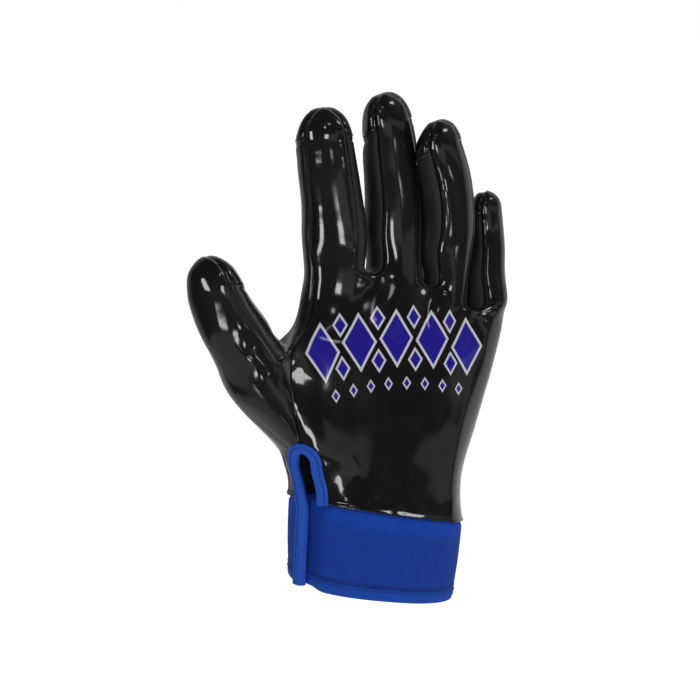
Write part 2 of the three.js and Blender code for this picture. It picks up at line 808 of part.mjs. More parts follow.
// Station over the top of the slit, where the tape turns from one panel to the other
function slitTopStation(skin, normals, seam, topIndex) {
  const point = skin.points[seam[topIndex]];
  const inward = new THREE.Vector3().subVectors(skin.points[seam[topIndex + 1]], point).normalize();
  const normal = squareTo(normals[seam[topIndex]], inward);
  return { point, inward, normal, thick: WALL, lift: TAPE_TOP_LIFT };
}

// Tape up the palm's edge of the slit, over its top, down the thumb's edge and on down the wrist band
function tapeGeometry(skin, normals, panels, slitPoints) {
  const palm = panels.palm_panel;
  const thumb = panels.thumb_panel;
  const right = slitStations(palm, slitPoints);
  const left = slitStations(thumb, slitPoints).reverse();
  const seam = [...palm.index.keys()].filter((p) => thumb.index.has(p));
  seam.sort((a, b) => skin.points[a].z - skin.points[b].z);
  const top = slitTopStation(skin, normals, seam, slitPoints.length - 1);
  const stations = [
    ...right,
    stationBetween(right[right.length - 1], top),
    top,
    stationBetween(top, left[0]),
    ...left,
    ...bandEdgeStations(),
  ];
  return sweptGeometry(stations.map(tapeLoop));
}

// Assembly
const glove = new THREE.Group();
glove.name = 'athletic_glove';

function addPiece(name, geometry, look) {
  const mesh = new THREE.Mesh(geometry, new THREE.MeshStandardMaterial(COLORS[look]));
  mesh.name = name;
  glove.add(mesh);
}

const cage = buildCage();
fitCage(cage);
const skin = subdivide(cage);
skin.points = limitPoints(skin);
const normals = pointNormals(skin);

const PANEL_LOOKS = {
  palm_panel: 'silicone',
  thumb_panel: 'silicone',
  back_panel: 'knit',
  fourchette_thumb_index: 'knit',
  fourchette_index_middle: 'knit',
  fourchette_middle_ring: 'knit',
  fourchette_ring_pinky: 'knit',
  tip_cap_thumb: 'silicone',
  tip_cap_index: 'silicone',
  tip_cap_middle: 'silicone',
  tip_cap_ring: 'silicone',
  tip_cap_pinky: 'silicone',
};

const panels = {};
for (const name of Object.keys(PANEL_LOOKS)) {
  panels[name] = cutPanel(skin, normals, name);
}
const slitPoints = [...panels.palm_panel.index.keys()]
  .filter((p) => panels.thumb_panel.index.has(p) && skin.points[p].z < SLIT_TOP + SLIT_TOP_MARGIN);
openSlit(panels.palm_panel, slitPoints);
openSlit(panels.thumb_panel, slitPoints);
for (const [name, look] of Object.entries(PANEL_LOOKS)) {
  addPiece(name, shellGeometry(panels[name]), look);
}

const hemShare = HEM_HEIGHT / (PALM_ROWS[0].zLeft - WRIST_BOTTOM.zLeft);
const gapShare = SEAM_GAP / (PALM_ROWS[0].zLeft - WRIST_BOTTOM.zLeft);
addPiece('cuff_band', bandGeometry(hemShare + gapShare, 1, BAND_THICK, 0, BAND_ROWS), 'band');
addPiece('cuff_hem', bandGeometry(0, hemShare, HEM_THICK, HEM_RAISE, 1), 'band');
addPiece('slit_binding', tapeGeometry(skin, normals, panels, slitPoints), 'tape');

export default glove;
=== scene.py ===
# Looks of a left-hand athletic glove, over its packed construction model.
# Tables are in millimetres, and every Blender object is in metres. X runs from the thumb side
# to the little finger side, Y from the palm to the back of the hand, Z from the wrist to the fingertips.

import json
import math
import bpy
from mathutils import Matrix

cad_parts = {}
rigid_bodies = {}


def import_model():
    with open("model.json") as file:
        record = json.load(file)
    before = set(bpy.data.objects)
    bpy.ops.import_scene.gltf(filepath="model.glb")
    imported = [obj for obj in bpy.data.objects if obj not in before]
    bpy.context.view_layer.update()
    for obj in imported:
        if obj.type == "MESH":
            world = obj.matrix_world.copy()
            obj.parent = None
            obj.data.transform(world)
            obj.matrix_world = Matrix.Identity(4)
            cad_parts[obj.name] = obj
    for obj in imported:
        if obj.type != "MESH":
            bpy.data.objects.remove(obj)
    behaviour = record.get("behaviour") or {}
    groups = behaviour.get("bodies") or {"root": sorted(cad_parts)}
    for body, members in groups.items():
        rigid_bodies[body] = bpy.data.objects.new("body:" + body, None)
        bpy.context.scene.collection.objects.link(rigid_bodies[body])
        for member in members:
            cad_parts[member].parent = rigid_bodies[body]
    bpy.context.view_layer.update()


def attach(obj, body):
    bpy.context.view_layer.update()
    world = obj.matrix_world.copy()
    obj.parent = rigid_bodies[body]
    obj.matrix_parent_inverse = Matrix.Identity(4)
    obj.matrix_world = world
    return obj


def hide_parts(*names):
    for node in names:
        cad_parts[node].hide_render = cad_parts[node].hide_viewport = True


bl_info = {
    "name": "Athletic Glove",
    "version": (1, 0, 0),
    "blender": (4, 5, 0),
    "location": "View3D > Sidebar > Glove",
    "description": "Sewn panels, tip caps, wrist band, bound slit and stitches of a left-hand athletic glove",
    "category": "Object",
}

from functools import lru_cache

import bpy
import numpy as np
from mathutils import Quaternion, Vector, noise
from mathutils.bvhtree import BVHTree
from mathutils.kdtree import KDTree

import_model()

MM = 0.001
BODY = "root"
# Length below which a direction is taken as none
TINY = 1e-9


def table(columns, rows):
    """Rows of a table, each by the names of its columns."""
    return [dict(zip(columns, row)) for row in rows]


# Form of the worn glove, as in the construction model
ROUNDNESS = 2.4
SIDE_SHARE = 0.77
SKIN_FIT_ROUNDS = 12
SKIN_LEVELS = 3

# Levels of the hand from the wrist up: height at both ends, edges, thumb seam and half depth, then how much
# the front swells at the thumb's mound and at the heel, how far the level arches, how closely its points
# follow the knuckles, and how much thinner it is below a crotch
PALM_COLUMNS = (
    "z_left", "z_right", "left", "right", "seam", "deep", "mound", "heel", "arch", "follow", "dip")
PALM_ROWS = table(PALM_COLUMNS, (
    (43.5, 29.0, -41.1, 43.0, -35.0, 22.0, 0, 0, 0, 0.0, 0.00),
    (51.5, 37.5, -41.0, 42.0, -36.0, 21.0, 1, 0, 0, 0.0, 0.00),
    (59.8, 46.5, -43.5, 42.0, -38.6, 19.5, 2, 1, 0, 0.1, 0.00),
    (68.5, 56.0, -49.0, 43.8, -41.2, 18.0, 4, 2, 0, 0.2, 0.00),
    (84.0, 69.0, -62.0, 48.2, -44.3, 16.5, 5, 3, 1, 0.4, 0.00),
    (99.0, 83.0, -62.0, 52.6, -45.6, 15.5, 3, 2, 2, 0.6, 0.00),
    (114.5, 96.0, -42.8, 56.6, -43.6, 14.5, 0, 1, 3, 0.8, 0.00),
    (124.5, 108.0, -37.6, 60.0, -34.5, 14.0, 0, 0, 4, 0.9, 0.04),
    (137.0, 118.0, -34.7, 62.4, -31.5, 13.2, 0, 0, 6, 1.0, 0.14),
))
MOUND_X = -24
HEEL_X = 26
SWELL_REACH = 17
CROTCH_HALF_DEPTH = 8.5
FIRST_COLUMN_SHARE = 0.17
LAST_COLUMN_SHARE = 0.86
CROTCH_Z = (148, 148.5, 141.8, 129.2, 130)
THUMB_BAND_FIRST = 3
THUMB_BAND_LAST = 5

# Sections of the fingers and the thumb: centre, width, depth, turn about the digit, and the thumb's lean
DIGIT_COLUMNS = ("x", "y", "z", "wide", "deep", "turn", "lean")
FINGERS = {
    "index": (
        (-19.8, -2.0, 148, 27.8, 24.0, -14),
        (-19.9, -2.5, 163, 30.0, 24.5, -20),
        (-21.6, -4.5, 178, 28.2, 24.0, -18),
        (-24.8, -8.0, 193, 27.2, 21.5, -16),
        (-27.2, -11.5, 204, 26.4, 20.0, -14),
        (-28.6, -14.0, 211.5, 25.4, 18.5, -13),
    ),
    "middle": (
        (9.6, 0.0, 147, 25.8, 24.0, 4),
        (9.1, -0.5, 163, 25.8, 24.0, 6),
        (8.4, -2.5, 177, 25.8, 23.5, 8),
        (6.0, -7.0, 193, 25.4, 21.5, 8),
        (3.3, -10.5, 206, 24.8, 20.0, 8),
        (1.0, -13.5, 216, 23.0, 18.0, 8),
    ),
    "ring": (
        (34.3, -0.5, 138, 18.6, 22.5, 6),
        (34.0, -3.5, 154, 21.8, 22.0, 8),
        (34.1, -7.0, 168, 22.8, 21.5, 10),
        (31.2, -13.0, 184, 22.0, 20.0, 10),
        (27.0, -17.5, 197, 21.2, 18.5, 10),
        (24.0, -20.0, 206, 20.0, 16.5, 10),
    ),
    "pinky": (
        (54.6, -2.5, 128, 16.2, 19.5, 8),
        (54.5, -1.5, 141, 16.0, 19.0, 10),
        (54.5, -0.5, 153, 16.0, 18.5, 12),
        (54.1, -0.5, 165, 15.8, 17.0, 12),
        (52.9, -2.5, 174.5, 15.2, 15.5, 12),
    ),
}
THUMB = (
    (-58.0, -8.0, 103.0, 34.8, 30.0, -14, 55),
    (-65.6, -12.0, 115.4, 30.8, 26.5, -20, 40),
    (-73.3, -16.0, 127.0, 28.6, 24.0, -25, 29),
    (-79.0, -19.0, 138.1, 27.2, 22.0, -29, 20),
    (-82.3, -20.7, 146.0, 25.4, 20.0, -30, 20),
)
TIPS = {
    "index": (-29.6, -16.0, 222.4),
    "middle": (-2.6, -16.0, 228.2),
    "ring": (21.4, -21.5, 216.0),
    "pinky": (51.6, -4.5, 182.6),
    "thumb": (-86.0, -22.0, 157.6),
}
TIP_RING_WIDTH = 0.79
TIP_RING_SETBACK = 0.17
CAP_BANDS = 1
CAP_SLANT_DEGREES = 32
CAP_SLANT_EASE = 0.5
TIP_SLANT_DEGREES = 30

# Slit at the thumb side of the wrist
SLIT_HALF_WIDTH = 5.8
SLIT_WRIST_HALF_WIDTH = 4.3
SLIT_ROUND_LENGTH = 9
SLIT_NARROW_LENGTH = 27
SLIT_ROW = 3
SLIT_TOP = PALM_ROWS[SLIT_ROW]["z_left"]
SLIT_TOP_MARGIN = 0.5
SLIT_SPREAD = 15

# Wrist band
BAND_INSET = 0.9
BAND_TOP_GAP = 0.5
HEM_HEIGHT = 5.5
HEM_RAISE = 0.4
EDGE_ANGLE_TOP = 206
EDGE_ANGLE_BOTTOM = 199
EDGE_LOOK_ANGLE = 3
TUCK_DEPTH = 4.4
TUCK_LENGTH_ANGLE = 18
TUCK_START_ANGLE = 30
TUCK_END_ANGLE = 4
WRIST_BOTTOM = {"left": -41.2, "right": 37.6, "z_left": 6.0, "z_right": -5.6, "deep": 23.5, "lean": 0.16}

# Panels of the glove's skin
STRIPS = (
    "fourchette_thumb_index",
    "fourchette_index_middle",
    "fourchette_middle_ring",
    "fourchette_ring_pinky",
)
CAPS = ("tip_cap_thumb", "tip_cap_index", "tip_cap_middle", "tip_cap_ring", "tip_cap_pinky")
PANELS = ("palm_panel", "thumb_panel", "back_panel") + STRIPS + CAPS
FRONT_PANELS = ("palm_panel", "thumb_panel")

# Corners of a finger's ring, counted from its front left corner round
FRONT_LEFT = 0
FRONT_MIDDLE = 1
FRONT_RIGHT = 2
RIGHT = 3
BACK_RIGHT = 4
BACK_LEFT = 6
LEFT = 7
FRONT_CORNERS = 3
FINGER_FRONT_FACES = 2
# Faces of the thumb's rings: the number across its front, the first one behind and the last one outside
THUMB_FRONT_FACES = 3
THUMB_BACK_FACE = 5
THUMB_OUTER_FACE = 9
# Corners across the front of the hand
FRONT_COUNT = len(FINGERS) * FRONT_CORNERS


def linear(red, green, blue):
    """Linear colour of a screen colour given in steps of 255."""
    return tuple(((step / 255 + 0.055) / 1.055) ** 2.4 for step in (red, green, blue))


def scaled(colour, factor):
    return tuple(value * factor for value in colour)


def mix(low, high, share):
    return low + (high - low) * share


def ease(value, low, high):
    """0 below low, 1 above high and a smooth rise between them."""
    share = np.clip((value - low) / (high - low), 0, 1)
    return share * share * (3 - 2 * share)


def rounded(share):
    """Half depth of a rounded section at a share of its half width."""
    return (1 - min(abs(share), 1) ** ROUNDNESS) ** (1 / ROUNDNESS)


# Settings that a user would change
class GloveCloth(bpy.types.PropertyGroup):
    """Sizes of the sewn cloth."""

    wall: bpy.props.FloatProperty(
        name="Wall", description="Thickness of the coated cloth", default=1.0 * MM,
        unit="LENGTH", subtype="DISTANCE")
    seam_gap: bpy.props.FloatProperty(
        name="Seam gap", description="Gap between two panels at their seam", default=0.16 * MM,
        unit="LENGTH", subtype="DISTANCE")
    seam_radius: bpy.props.FloatProperty(
        name="Seam roll", description="Radius at which a panel turns in to its seam", default=0.6 * MM,
        unit="LENGTH", subtype="DISTANCE")
    pucker: bpy.props.FloatProperty(
        name="Pucker", description="Height of the small gathers along the seams", default=0.22 * MM,
        unit="LENGTH", subtype="DISTANCE")
    ripple: bpy.props.FloatProperty(
        name="Ripple", description="Height of the soft waves over the stretched coating", default=0.16 * MM,
        unit="LENGTH", subtype="DISTANCE")
    cap_step: bpy.props.FloatProperty(
        name="Cap step", description="How far the tip caps stand over the cloth below them", default=0.7 * MM,
        unit="LENGTH", subtype="DISTANCE")
    band_wall: bpy.props.FloatProperty(
        name="Band wall", description="Thickness of the wrist band", default=1.6 * MM,
        unit="LENGTH", subtype="DISTANCE")
    hem_wall: bpy.props.FloatProperty(
        name="Hem wall", description="Thickness of the folded hem", default=2.4 * MM,
        unit="LENGTH", subtype="DISTANCE")
    stitch_length: bpy.props.FloatProperty(
        name="Stitch length", description="Length of one stitch on the surface", default=0.75 * MM,
        unit="LENGTH", subtype="DISTANCE")
    stitch_gap: bpy.props.FloatProperty(
        name="Stitch gap", description="Gap between two stitches", default=0.4 * MM,
        unit="LENGTH", subtype="DISTANCE")


class GloveFinish(bpy.types.PropertyGroup):
    """Colours of the glove."""

    silicone: bpy.props.FloatVectorProperty(
        name="Silicone", description="Glossy coating of the palm, thumb and tips", size=3,
        default=linear(14, 14, 14), min=0, max=1, subtype="COLOR")
    knit: bpy.props.FloatVectorProperty(
        name="Back knit", description="Matte knit of the back of the hand", size=3,
        default=linear(24, 24, 25), min=0, max=1, subtype="COLOR")
    strip: bpy.props.FloatVectorProperty(
        name="Strip knit", description="Strips between the fingers", size=3,
        default=linear(27, 26, 28), min=0, max=1, subtype="COLOR")
    band: bpy.props.FloatVectorProperty(
        name="Band", description="Bird's-eye knit of the wrist band", size=3,
        default=linear(5, 52, 141), min=0, max=1, subtype="COLOR")
    hem: bpy.props.FloatVectorProperty(
        name="Hem", description="Folded hem of the wrist band", size=3,
        default=linear(12, 63, 156), min=0, max=1, subtype="COLOR")
    tape: bpy.props.FloatVectorProperty(
        name="Tape", description="Binding of the slit", size=3,
        default=linear(26, 73, 168), min=0, max=1, subtype="COLOR")
    print_fill: bpy.props.FloatVectorProperty(
        name="Print", description="Fill of the printed diamonds", size=3,
        default=linear(30, 22, 122), min=0, max=1, subtype="COLOR")
    print_line: bpy.props.FloatVectorProperty(
        name="Print outline", description="Outline of the printed diamonds", size=3,
        default=linear(178, 178, 186), min=0, max=1, subtype="COLOR")


class GloveStage(bpy.types.PropertyGroup):
    """Camera and studio."""

    azimuth: bpy.props.FloatProperty(
        name="Azimuth", description="How far round to the thumb side the camera stands",
        default=math.radians(18), unit="ROTATION", subtype="ANGLE")
    elevation: bpy.props.FloatProperty(
        name="Elevation", description="How far above the level the camera stands",
        default=math.radians(7), unit="ROTATION", subtype="ANGLE")
    distance: bpy.props.FloatProperty(
        name="Distance", description="From the camera to its target", default=1.25,
        unit="LENGTH", subtype="DISTANCE")
    view_width: bpy.props.FloatProperty(
        name="View width", description="Width of the view at the target", default=0.322,
        unit="LENGTH", subtype="DISTANCE")
    target: bpy.props.FloatVectorProperty(
        name="Target", description="Point in the middle of the view", size=3,
        default=(-10.6 * MM, 3.4 * MM, 110.1 * MM), unit="LENGTH", subtype="XYZ")
    floor_drop: bpy.props.FloatProperty(
        name="Floor drop", description="From the wrist opening down to the floor", default=0.2,
        unit="LENGTH", subtype="DISTANCE")


# Cage of the skin
class Cage:
    """Corner points and four-sided faces that the smooth skin passes through."""

    def __init__(self):
        self.points = []
        self.faces = []
        self.panels = []

    def point(self, x, y, z):
        self.points.append(Vector((x, y, z)))
        return len(self.points) - 1

    def face(self, corners, panel):
        self.faces.append(corners)
        self.panels.append(panel)


def digit_rows(name):
    return table(DIGIT_COLUMNS, THUMB if name == "thumb" else FINGERS[name])


def row_centre(row):
    return Vector((row["x"], row["y"], row["z"]))


def section_frame(rows, tip, index):
    """A digit's section: its centre, the way along the digit, across it and towards its back."""
    here = rows[index]
    before = row_centre(rows[max(index - 1, 0)])
    after = row_centre(rows[index + 1]) if index + 1 < len(rows) else tip
    along = (after - before).normalized()
    if "lean" in here:
        along.x = -math.sin(math.radians(here["lean"]))
        along.z = math.cos(math.radians(here["lean"]))
        along.normalize()
    across = Vector((0, 1, 0)).cross(along).normalized()
    across.rotate(Quaternion(along, math.radians(here["turn"])))
    return {"centre": row_centre(here), "along": along, "across": across, "back": along.cross(across)}


def section_point(section, wide, deep, share, depth_share, slant):
    drop = -slant * (depth_share + SIDE_SHARE) * deep / 2
    across = section["across"] * (share * wide / 2)
    back = section["back"] * (depth_share * deep / 2)
    return section["centre"] + across + back + section["along"] * drop


def ring_shares(front_faces):
    """Shares of the half width and half depth at a section's corners, from its front left corner round."""
    shares = []
    for i in range(front_faces + 1):
        across = mix(-SIDE_SHARE, SIDE_SHARE, i / front_faces)
        shares.append((across, -rounded(across)))
    back = [(-across, -depth) for across, depth in shares]
    return shares + [(1, 0)] + back + [(-1, 0)]


def add_ring(cage, section, wide, deep, shares, slant):
    return [cage.point(*section_point(section, wide, deep, u, v, slant)) for u, v in shares]


def add_digit(cage, name, first_row, base_ring, front_faces, panel_of):
    """Rings of a digit above its base, then its tip."""
    shares = ring_shares(front_faces)
    rows = digit_rows(name)
    tip = Vector(TIPS[name])
    last = len(rows) - 1
    bands = last - first_row + 2
    ring = base_ring
    for band in range(bands):
        index = min(first_row + band, last)
        section = section_frame(rows, tip, index)
        wide = rows[index]["wide"]
        deep = rows[index]["deep"]
        slant = math.tan(math.radians(CAP_SLANT_DEGREES)) * max(1 - (last - index) * CAP_SLANT_EASE, 0)
        if band == bands - 1:
            back_off = TIP_RING_SETBACK * wide / (tip - section["centre"]).length
            section["centre"] = section["centre"].lerp(tip, 1 - back_off)
            wide *= TIP_RING_WIDTH
            deep *= TIP_RING_WIDTH
            slant = math.tan(math.radians(TIP_SLANT_DEGREES))
        above = add_ring(cage, section, wide, deep, shares, slant)
        in_cap = band >= bands - CAP_BANDS
        for i in range(len(ring)):
            j = (i + 1) % len(ring)
            cage.face((ring[i], ring[j], above[j], above[i]), panel_of(i, in_cap))
        ring = above
    apex = cage.point(*tip)
    count = len(ring)
    for i in range(front_faces % 2, count, 2):
        cage.face((ring[i], ring[(i + 1) % count], ring[(i + 2) % count], apex), panel_of(i, True))


def knuckle_places():
    places = []
    for name in FINGERS:
        base = digit_rows(name)[0]
        reach = SIDE_SHARE * base["wide"] / 2
        places += [base["x"] - reach, base["x"], base["x"] + reach]
    return places


def swell(row, x):
    mound = row["mound"] * math.exp(-((x - MOUND_X) / SWELL_REACH) ** 2)
    return mound + row["heel"] * math.exp(-((x - HEEL_X) / SWELL_REACH) ** 2)


def palm_ring(cage, row, knuckles, index):
    """Corners of one level of the hand: front from left to right, right edge, back, left edge."""
    centre = (row["left"] + row["right"]) / 2
    half = (row["right"] - row["left"]) / 2
    last_x = mix(centre, row["right"], LAST_COLUMN_SHARE)

    def level(x):
        """Height at a place across, from the level's two ends and its arch between them."""
        share = (x - row["seam"]) / (row["right"] - row["seam"])
        within = min(max(share, 0), 1)
        return mix(row["z_left"], row["z_right"], share) + 4 * row["arch"] * within * (1 - within)

    front = []
    back = []
    for i in range(FRONT_COUNT):
        even = 0 if i == 0 else mix(FIRST_COLUMN_SHARE, 1, (i - 1) / (FRONT_COUNT - 2))
        knuckle = (knuckles[i] - knuckles[0]) / (knuckles[-1] - knuckles[0])
        x = mix(row["seam"], last_x, mix(even, knuckle, row["follow"]))
        below_crotch = i % FRONT_CORNERS != FRONT_MIDDLE and 0 < i < FRONT_COUNT - 1
        thick = row["deep"] * rounded((x - centre) / half) * (1 - row["dip"] if below_crotch else 1)
        if index == THUMB_BAND_LAST + 1 and i == 0:
            thick = CROTCH_HALF_DEPTH
        front.append(cage.point(x, -thick - swell(row, x), level(x)))
        back.append((x, thick, level(x)))
    right = cage.point(row["right"], 0, level(row["right"]))
    back_points = [cage.point(*place) for place in reversed(back)]
    inside_thumb = THUMB_BAND_FIRST < index <= THUMB_BAND_LAST
    left = None if inside_thumb else cage.point(row["left"], 0, level(row["left"]))
    return front + [right] + back_points + [left]


def finger_base(cage, name, index):
    """Base of a finger, whose corners stand at the heights of the crotches on its two sides."""
    base = digit_rows(name)[0]
    cosine = math.cos(math.radians(base["turn"]))
    sine = math.sin(math.radians(base["turn"]))
    ring = []
    for u, v in ring_shares(FINGER_FRONT_FACES):
        x = u * base["wide"] / 2
        y = v * base["deep"] / 2
        z = mix(CROTCH_Z[index], CROTCH_Z[index + 1], (u + 1) / 2)
        ring.append(cage.point(base["x"] + x * cosine - y * sine, base["y"] + x * sine + y * cosine, z))
    return ring


def finger_panel(index, name, column, in_cap):
    """Panel of a finger's face, by the corner that it starts from."""
    last_finger = index == len(FINGERS) - 1
    if column < FRONT_RIGHT or (last_finger and column == FRONT_RIGHT):
        return "palm_panel"
    if in_cap:
        return f"tip_cap_{name}"
    if column >= BACK_LEFT:
        return STRIPS[index]
    if column >= BACK_RIGHT or last_finger:
        return "back_panel"
    return STRIPS[index + 1]


def thumb_panel(column, in_cap):
    """Panel of a thumb's face, by its number from the front's left round."""
    if column < THUMB_FRONT_FACES or column == THUMB_OUTER_FACE:
        return "thumb_panel"
    if in_cap:
        return "tip_cap_thumb"
    return STRIPS[0] if column < THUMB_BACK_FACE else "back_panel"


def hand_panel(band, column):
    """Panel of a face of the hand, by its band from the wrist up and its number from the front's left."""
    if column < FRONT_COUNT:
        return "palm_panel"
    if column < 2 * FRONT_COUNT:
        return "back_panel"
    if band > THUMB_BAND_LAST:
        return STRIPS[0]
    return "back_panel" if column == 2 * FRONT_COUNT else "thumb_panel"


def build_cage():
    """Cage of the whole glove: the hand's levels, the finger bases, the fingers and the thumb."""
    cage = Cage()
    knuckles = knuckle_places()
    rings = [palm_ring(cage, row, knuckles, index) for index, row in enumerate(PALM_ROWS)]
    bases = [finger_base(cage, name, index) for index, name in enumerate(FINGERS)]
    front = [corner for ring in bases for corner in ring[:FRONT_CORNERS]]
    back = [corner for ring in reversed(bases) for corner in ring[BACK_RIGHT:LEFT]]
    rings.append(front + [bases[-1][RIGHT]] + back + [bases[0][LEFT]])
    columns = len(rings[0])
    for band in range(len(rings) - 1):
        for i in range(columns):
            at_thumb = THUMB_BAND_FIRST <= band <= THUMB_BAND_LAST and i >= columns - 2
            if not at_thumb:
                j = (i + 1) % columns
                corners = (rings[band][i], rings[band][j], rings[band + 1][j], rings[band + 1][i])
                cage.face(corners, hand_panel(band, i))
    for k, (left, right) in enumerate(zip(bases, bases[1:])):
        cage.face((left[FRONT_RIGHT], right[FRONT_LEFT], right[LEFT], left[RIGHT]), STRIPS[k + 1])
        cage.face((left[RIGHT], right[LEFT], right[BACK_LEFT], left[BACK_RIGHT]), STRIPS[k + 1])
    for k, name in enumerate(FINGERS):
        add_digit(cage, name, 1, bases[k], FINGER_FRONT_FACES,
                  lambda column, in_cap: finger_panel(k, name, column, in_cap))
    hole = rings[THUMB_BAND_FIRST:THUMB_BAND_LAST + 2]
    thumb_base = [ring[0] for ring in hole] + [hole[-1][columns - 1]]
    thumb_base += [ring[columns - 2] for ring in reversed(hole)] + [hole[0][columns - 1]]
    add_digit(cage, "thumb", 0, thumb_base, THUMB_FRONT_FACES, thumb_panel)
    return cage


def edge_faces(faces):
    """Faces on each edge, by the edge's two points in rising order."""
    owners = {}
    for index, corners in enumerate(faces):
        for a, b in zip(corners, tuple(corners[1:]) + tuple(corners[:1])):
            owners.setdefault((min(a, b), max(a, b)), []).append(index)
    return owners


def limit_weights(cage):
    """Matrix that takes the cage's points to where they lie on the smooth skin.

    The weights are those of Catmull and Clark's rule: on a border by its two neighbours, and elsewhere by
    the n points beside a point and the n points across its faces.
    """
    count = len(cage.points)
    beside = [set() for _ in range(count)]
    border = [[] for _ in range(count)]
    for (a, b), owners in edge_faces(cage.faces).items():
        beside[a].add(b)
        beside[b].add(a)
        if len(owners) == 1:
            border[a].append(b)
            border[b].append(a)
    weights = np.zeros((count, count))
    for index in range(count):
        if border[index]:
            weights[index, index] = 4 / 6
            weights[index, border[index]] = 1 / 6
        else:
            n = len(beside[index])
            weights[index, index] = n / (n + 5)
            weights[index, list(beside[index])] = 4 / (n * (n + 5))
    for corners in cage.faces:
        for k, corner in enumerate(corners):
            if not border[corner]:
                n = len(beside[corner])
                weights[corner, corners[(k + 2) % 4]] += 1 / (n * (n + 5))
    return weights


def fitted_points(cage):
    """Cage points moved out until the smooth skin passes through the tables' own points."""
    wanted = np.array(cage.points)
    weights = limit_weights(cage)
    points = wanted.copy()
    for _ in range(SKIN_FIT_ROUNDS):
        points += wanted - weights @ points
    return points


# Smooth skin
class Skin:
    """The glove's outer surface: points, normals and four-sided faces, each face in a panel."""

    def __init__(self, points, faces, panels):
        self.points = points
        self.faces = faces
        self.panels = panels
        self.normals = point_normals(points, faces)


def face_normals(points, faces):
    first = points[faces[:, 2]] - points[faces[:, 0]]
    second = points[faces[:, 3]] - points[faces[:, 1]]
    return np.cross(first, second)


def unit(vectors):
    return vectors / np.maximum(np.linalg.norm(vectors, axis=-1, keepdims=True), TINY)


def point_normals(points, faces):
    normals = np.zeros_like(points)
    across = face_normals(points, faces)
    for k in range(4):
        np.add.at(normals, faces[:, k], across)
    return unit(normals)


def subdivided(points, faces, panels, levels):
    """Points, faces and panels of the smooth skin, from the cage by Catmull and Clark's rule."""
    mesh = bpy.data.meshes.new("glove_cage")
    mesh.from_pydata(points.tolist(), [], faces)
    mesh.polygons.foreach_set("material_index", panels)
    holder = bpy.data.objects.new("glove_cage", mesh)
    bpy.context.scene.collection.objects.link(holder)
    modifier = holder.modifiers.new("Smooth", "SUBSURF")
    modifier.levels = levels
    modifier.boundary_smooth = "ALL"
    evaluated = holder.evaluated_get(bpy.context.evaluated_depsgraph_get())
    fine = evaluated.to_mesh()
    fine_points = np.empty(len(fine.vertices) * 3)
    fine.vertices.foreach_get("co", fine_points)
    fine_faces = np.empty(len(fine.polygons) * 4, dtype=np.int32)
    fine.polygons.foreach_get("vertices", fine_faces)
    fine_panels = np.empty(len(fine.polygons), dtype=np.int32)
    fine.polygons.foreach_get("material_index", fine_panels)
    evaluated.to_mesh_clear()
    bpy.data.objects.remove(holder)
    bpy.data.meshes.remove(mesh)
    return fine_points.reshape(-1, 3), fine_faces.reshape(-1, 4), fine_panels


def nearest(points, targets):
    """Distance from each point to the nearest target, and that target's number."""
    tree = KDTree(len(targets))
    for index, target in enumerate(targets):
        tree.insert(target, index)
    tree.balance()
    found = [tree.find(point) for point in points]
    return np.array([hit[2] for hit in found]), np.array([hit[1] for hit in found])


def seam_points(skin, wanted):
    """Points on the edges that pass a test on the names of their panels and their number of faces."""
    found = set()
    for (a, b), owners in edge_faces(skin.faces.tolist()).items():
        names = {PANELS[skin.panels[owner]] for owner in owners}
        if wanted(names, len(owners)):
            found.update((a, b))
    return np.array(sorted(found))


WAVE_SHIFT = (17.3, 5.1, 9.7)


def waves(points, size, seed):
    """Smooth noise between -1 and 1 whose lumps are about size across."""
    offset = Vector([seed * shift for shift in WAVE_SHIFT])
    return np.array([noise.noise(Vector(point) / size + offset) for point in points])


# Lines over the skin: where each starts and ends, how wide it is and how high it stands
LINE_COLUMNS = ("start", "end", "width", "height")
# Fine folds, and creases where the height is less than 0
FOLDS = table(LINE_COLUMNS, (
    ((-46, -12, 113), (-55, -12, 112), 2.2, -0.9),
    ((-44, -10, 118), (-52, -9, 119), 1.8, 0.7),
    ((-43, -14, 109), (-52, -18, 104), 2.6, 0.6),
    ((-40, -14, 114), (-34, -17, 104), 2.4, -0.5),
    ((-20, -24, 46), (-15, -24, 52), 2.2, 0.55),
    ((-13, -24, 45), (-18, -24, 40), 1.6, -0.45),
    ((0, -24, 42), (-5, -24, 48), 2.0, 0.5),
    ((4, -24, 38), (6, -24, 45), 1.8, 0.45),
    ((18, -23, 36), (12, -24, 41), 2.4, 0.35),
    ((30, -20, 34), (36, -17, 40), 3.0, 0.4),
    ((-61, -25, 108), (-70, -24, 116), 3.2, 0.35),
    ((-2, -14, 139), (-5, -15, 128), 2.4, -0.5),
    ((22, -13, 132), (20, -15, 121), 2.4, -0.5),
    ((43.5, -11, 121), (40, -14, 111), 2.2, -0.45),
))
FOLD_END_FADE = 0.5
FOLD_BANK_SHARE = 0.45
FOLD_BANK_AWAY = 1.9
# Where the skin is fuller towards the palm's front, beside the thumb seam and down the thumb's mound
SWELLS = table(LINE_COLUMNS, (
    ((-44.5, -13, 112), (-44.5, -15, 101), 6.5, 4.6),
    ((-43.5, -16, 94), (-42, -17, 88), 6, 1.8),
    ((-37, -15, 108), (-37, -18, 90), 12, 2.6),
    ((-46, -17, 92), (-41, -18, 68), 10, 4.0),
    ((-37, -19, 72), (-34, -18, 58), 7, 2.0),
))
# Where the side that the ring finger and the little finger turn to the thumb is fuller
LEANS = table(LINE_COLUMNS, (
    ((16, -22, 200), (23, -7, 162), 8, 2.2),
    ((23, -5, 156), (24, -4, 142), 7, 1.8),
    ((47.5, -2, 145), (47.5, -4, 126), 7, 2.8),
))
